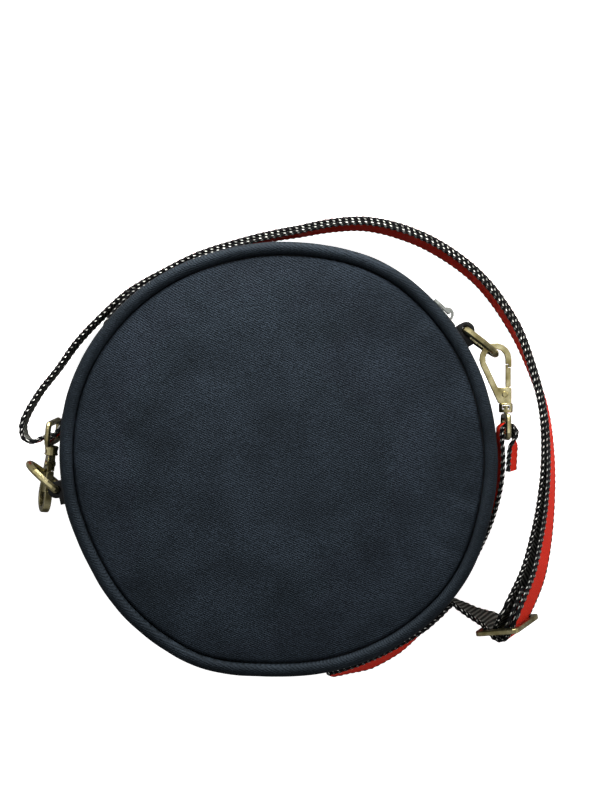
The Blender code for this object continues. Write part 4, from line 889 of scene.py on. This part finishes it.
def hairpin():
    """Webbing stations round the hairpin under the bag's lower edge."""
    swing = HAIRPIN_RADIUS / BAG_RADIUS
    return [on_edge(HAIRPIN_CLOCK + math.degrees(swing * a), HAIRPIN_SHARE + swing * b, 0,
                    HAIRPIN_LEAN + HAIRPIN_LEAN_CHANGE * b)
            for a, b in arc((0, 0), 1.0, -90, 90, HAIRPIN_STEPS)]


def strap_stations():
    """Every station of the strap in order, from the sewn end at the right eye to the slider."""
    centre, along, across, normal = slider_axes()
    right = eye_frame(1, EYE_RIGHT_ALONG, EYE_RIGHT_OUT, 0.0, HOOK_RIGHT_TURN, 0.0, 0.0)
    left = eye_frame(-1, EYE_LEFT_ALONG, EYE_LEFT_OUT, EYE_LEFT_DROP, HOOK_LEFT_TURN, HOOK_LEFT_PITCH,
                     EYE_LEFT_ROLL)
    right_rise = MID_Z - WEBBING_WIDTH / 2 - GAP
    left_rise = MID_Z - EYE_LEFT_DROP - WEBBING_WIDTH / 2 - GAP
    bar_loop = SLIDER_CENTRE_BAR + GAP + WEBBING / 2
    thread = bar_loop + LAYER_PITCH
    tail_angle, angle = -90.0 - TAIL_HEADING, -90.0 + THREAD_HEADING

    def at_slider(radius, degrees, distance=0.0, heading=0.0):
        """A station at an angle round the slider's centre bar, then a distance on along a heading."""
        spot, way = math.radians(degrees), math.radians(heading)
        a = radius * math.cos(spot) + distance * math.cos(way)
        b = radius * math.sin(spot) + distance * math.sin(way)
        return centre + across * a + normal * b, along

    route = stations(END_AT_RIGHT_EYE, right_rise) + eye_points(right, EYE_RIGHT_SHARES)
    route += stations(HUG, right_rise) + hairpin() + stations(RETURN, 0.0)
    route += stations(TAIL, TAIL_RISE, leaning)
    route += [at_slider(thread, tail_angle, d, 180.0 - TAIL_HEADING) for d in (SLIDER_TAIL_CLEAR, SLIDER_NEAR)]
    route += [at_slider(thread, tail_angle + (angle - tail_angle) * i / TAIL_TURN_STEPS)
              for i in range(TAIL_TURN_STEPS + 1)]
    outer = [at_slider(thread, angle, d, THREAD_HEADING) for d in (SLIDER_NEAR, SLIDER_CLEAR)]
    outer += stations(OUTER, EXIT_RISE, doubled)
    route += outer + stations(OUTER_LEFT, 0.0, doubled)
    route += stations(LOOP_TO_LEFT_EYE, left_rise) + eye_points(left, EYE_LEFT_SHARES)
    route += stations(LOOP_FROM_LEFT_EYE, left_rise)
    route += inner_layer(outer, thread + bar_loop, LAYER_PITCH_SEEN)
    route += [at_slider(bar_loop, angle - 180.0 * (1 - i / BAR_TURN_STEPS)) for i in range(BAR_TURN_STEPS + 1)]
    route.append(at_slider(bar_loop, angle, SLIDER_FRAME_WIDTH / 3, THREAD_HEADING))
    for place in reversed(inner_layer(outer[:FLAP_STATIONS], LAYER_PITCH, LAYER_PITCH)):
        if SLIDER_FRAME_WIDTH / 2 + ROUTE_STEP < (place[0] - centre).length < FLAP_LENGTH:
            route.append(place)
    return route


def make_strap():
    """The whole strap as one continuous webbing, with serrated edges and a face and a reverse."""
    samples = smooth_route(strap_stations(), RIBBON_STEP)
    half, deep = WEBBING_WIDTH / 2, WEBBING / 2
    section = list(SECTION) + [(a, -b) for a, b in reversed(SECTION)]
    count = len(section)
    bm = bmesh.new()
    uv = bm.loops.layers.uv.new("weave")
    loops, lengths = [], []
    run = 0.0
    for i, (point, _) in enumerate(samples):
        run += (point - samples[max(i - 1, 0)][0]).length
        ahead, across = directions(samples, i)
        side = across.cross(ahead).normalized()
        turn = 0.5 + 0.5 * math.sin(2 * math.pi * run / SELVEDGE_PITCH)
        ring = []
        for a, b in section:
            bite = SELVEDGE_BITE * (1 - turn) if abs(a) > BITE_FROM_SHARE else 0.0
            swell = 1 + SELVEDGE_LUMP * (turn - LUMP_LEVEL) if abs(a) > LUMP_FROM_SHARE else 1
            ring.append(bm.verts.new(point + across * (a * half - math.copysign(bite, a))
                                     + side * (b * deep * swell)))
        loops.append(ring)
        lengths.append(run)
    for i in range(len(loops) - 1):
        for j in range(count):
            k = (j + 1) % count
            face = bm.faces.new((loops[i][j], loops[i][k], loops[i + 1][k], loops[i + 1][j]))
            middle = (section[j][1] + section[k][1]) / 2
            flat_side = abs(middle) > FLAT_FROM_SHARE
            face.material_index = (1 if middle > 0 else 0) if flat_side else 2
            places = ((i, j), (i, k), (i + 1, k), (i + 1, j))
            for corner, (row, column) in zip(face.loops, places):
                a, b = section[column]
                corner[uv].uv = (lengths[row], (a + 1) * half if flat_side else (b + 1) * deep)
    for ring in (loops[0], loops[-1]):
        bm.faces.new(ring).material_index = 2
    obj = mesh_object("strap_webbing", bm, ["red", "reverse", "selvedge"])
    obj.data.set_sharp_from_angle(angle=math.radians(WEBBING_SHARP_ANGLE))
    nodes = [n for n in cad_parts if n.startswith("strap_") and n != "strap_slider"]
    place_piece(obj, nodes)


# Finishes of the CAD's own pieces, by how their names start. The first that fits counts
CAD_FINISH = (
    ("strap_slider", "brass"), ("d_ring_", "brass"), ("hook_", "brass"), ("eye_", "brass"),
    ("gate_spring_", "steel"), ("gate_", "brass"), ("zip_slider", "nickel"), ("zip_pull", "nickel"),
    ("zip_teeth", "teeth"), ("zip_tape", "tape"), ("lining_", "lining"),
)


def dress_cad_nodes():
    """Give the CAD's own metal, tape and lining pieces their materials."""
    for name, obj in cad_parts.items():
        for start, finish in CAD_FINISH:
            if name.startswith(start):
                for spot in obj.material_slots:
                    spot.material = FINISH[finish]
                break


def ray_kinds(tree):
    """1 for rays that show the stage itself, seen or through glass, and 1 for those that gloss reflects."""
    rays = add(tree, "ShaderNodeLightPath", {}).node.outputs
    seen = add(tree, MATH, (rays["Is Camera Ray"], rays["Is Transmission Ray"]), operation="MAXIMUM")
    return seen, rays["Is Glossy Ray"]


def make_floor():
    """A plain white floor that takes the bag's shadow and shows white behind it."""
    bm = bmesh.new()
    corners = ((-1, -1), (1, -1), (1, 1), (-1, 1))
    bm.faces.new([bm.verts.new((x * FLOOR_HALF, y * FLOOR_HALF, -FLOOR_DROP)) for x, y in corners])
    mat = bpy.data.materials.new("white floor")
    mat.use_nodes = True
    tree = mat.node_tree
    tree.nodes.remove(tree.nodes["Principled BSDF"])
    seen, mirrored = ray_kinds(tree)
    tone = add(tree, MATH, (mirrored, FLOOR_TONE_MIRRORED - FLOOR_TONE, FLOOR_TONE), operation="MULTIPLY_ADD")
    diffuse = add(tree, "ShaderNodeBsdfDiffuse", {"Color": tone})
    strength = add(tree, MATH, (seen, FLOOR_GLOW), operation="MULTIPLY")
    glow = add(tree, "ShaderNodeEmission", {"Color": linear("#ffffff"), "Strength": strength})
    both = add(tree, "ShaderNodeAddShader", (diffuse, glow))
    tree.links.new(both, tree.nodes["Material Output"].inputs["Surface"])
    FINISH["floor"] = mat
    mesh_object("floor", bm, ["floor"])


def area_light(name, clock, reach, height, size, power, colour):
    """A soft box that looks at the bag, placed by clock and reach on the floor plan."""
    data = bpy.data.lights.new(name, "AREA")
    data.shape, data.size, data.energy, data.color = "SQUARE", size, power, colour
    obj = bpy.data.objects.new(name, data)
    obj.location = polar(clock, reach, height)
    aim = Vector((0.0, 0.0, LIGHTS_AIM)) - obj.location
    obj.rotation_euler = aim.to_track_quat("-Z", "Y").to_euler()
    bpy.context.scene.collection.objects.link(obj)


def make_surroundings():
    """A pale room: even light, white where it is seen, and a bright side that gloss mirrors."""
    world = bpy.data.worlds.new("pale room")
    world.use_nodes = True
    tree = world.node_tree
    background = tree.nodes["Background"]
    seen, mirrored = ray_kinds(tree)
    direction = add(tree, PLACES, {}, "Generated")
    toward = add(tree, "ShaderNodeVectorMath", (direction, polar(PICTURE_UP_CLOCK, 1.0)), "Value",
                 operation="DOT_PRODUCT")
    bright_side = add(tree, RANGE, {"Value": toward, "From Min": BRIGHT_SIDE_FROM, "From Max": BRIGHT_SIDE_TO,
                                    "To Min": DARK_SIDE_LIGHT, "To Max": BRIGHT_SIDE_LIGHT},
                      interpolation_type="SMOOTHSTEP")
    reflected = add(tree, MATH, (mirrored, bright_side), operation="MULTIPLY")
    unseen = add(tree, MATH, (reflected, ROOM_LIGHT), operation="ADD")
    strength = add(tree, MATH, (seen, ROOM_SEEN - ROOM_LIGHT, unseen), operation="MULTIPLY_ADD")
    tree.links.new(strength, background.inputs["Strength"])
    background.inputs["Color"].default_value = linear("#ffffff")
    bpy.context.scene.world = world


def make_camera():
    """The photograph's camera, turned so that the picture's up is at its clock angle."""
    data = bpy.data.cameras.new("camera")
    data.sensor_fit, data.sensor_height = "VERTICAL", SENSOR_MM
    data.lens = FOCAL_PX / PHOTO_HEIGHT_PX * SENSOR_MM
    camera = bpy.data.objects.new("camera", data)
    camera.location = (CAMERA_X, CAMERA_Y, CAMERA_HEIGHT)
    camera.rotation_euler = (0.0, 0.0, math.radians(-PICTURE_UP_CLOCK))
    bpy.context.scene.collection.objects.link(camera)
    bpy.context.scene.camera = camera


make_floor()
for light in LIGHTS:
    area_light(*light)
make_surroundings()
bpy.context.scene.view_settings.view_transform = "Standard"
make_camera()

make_front()
make_back()
make_piping("piping_cord_back", PIPING_RADIUS, "piping_back", 0.0)
make_piping("piping_cord_front", BAG_DEPTH - PIPING_RADIUS, "piping_front", 1.0)
ZIP_LOW, ZIP_HIGH = MID_Z - ZIP_OPENING / 2, MID_Z + ZIP_OPENING / 2
LEFT_END, RIGHT_END = TAB_CLOCKS[-1], TAB_CLOCKS[1]
make_gusset("gusset_canvas_lower", RIGHT_END + GUSSET_END_CLEAR_DEG, FULL_TURN - GUSSET_END_CLEAR_DEG + LEFT_END,
            GUSSET_BOTTOM, GUSSET_TOP, "gusset_lower", GUSSET_BAND_ROWS)
make_gusset("gusset_canvas_back", LEFT_END, RIGHT_END, GUSSET_BOTTOM, ZIP_LOW, "gusset_strip_back",
            GUSSET_STRIP_ROWS)
make_gusset("gusset_canvas_front", LEFT_END, RIGHT_END, ZIP_HIGH, GUSSET_TOP, "gusset_strip_front",
            GUSSET_STRIP_ROWS)
make_zip_stitches()
make_tab("right", 1)
make_tab("left", -1)
make_strap()
dress_cad_nodes()
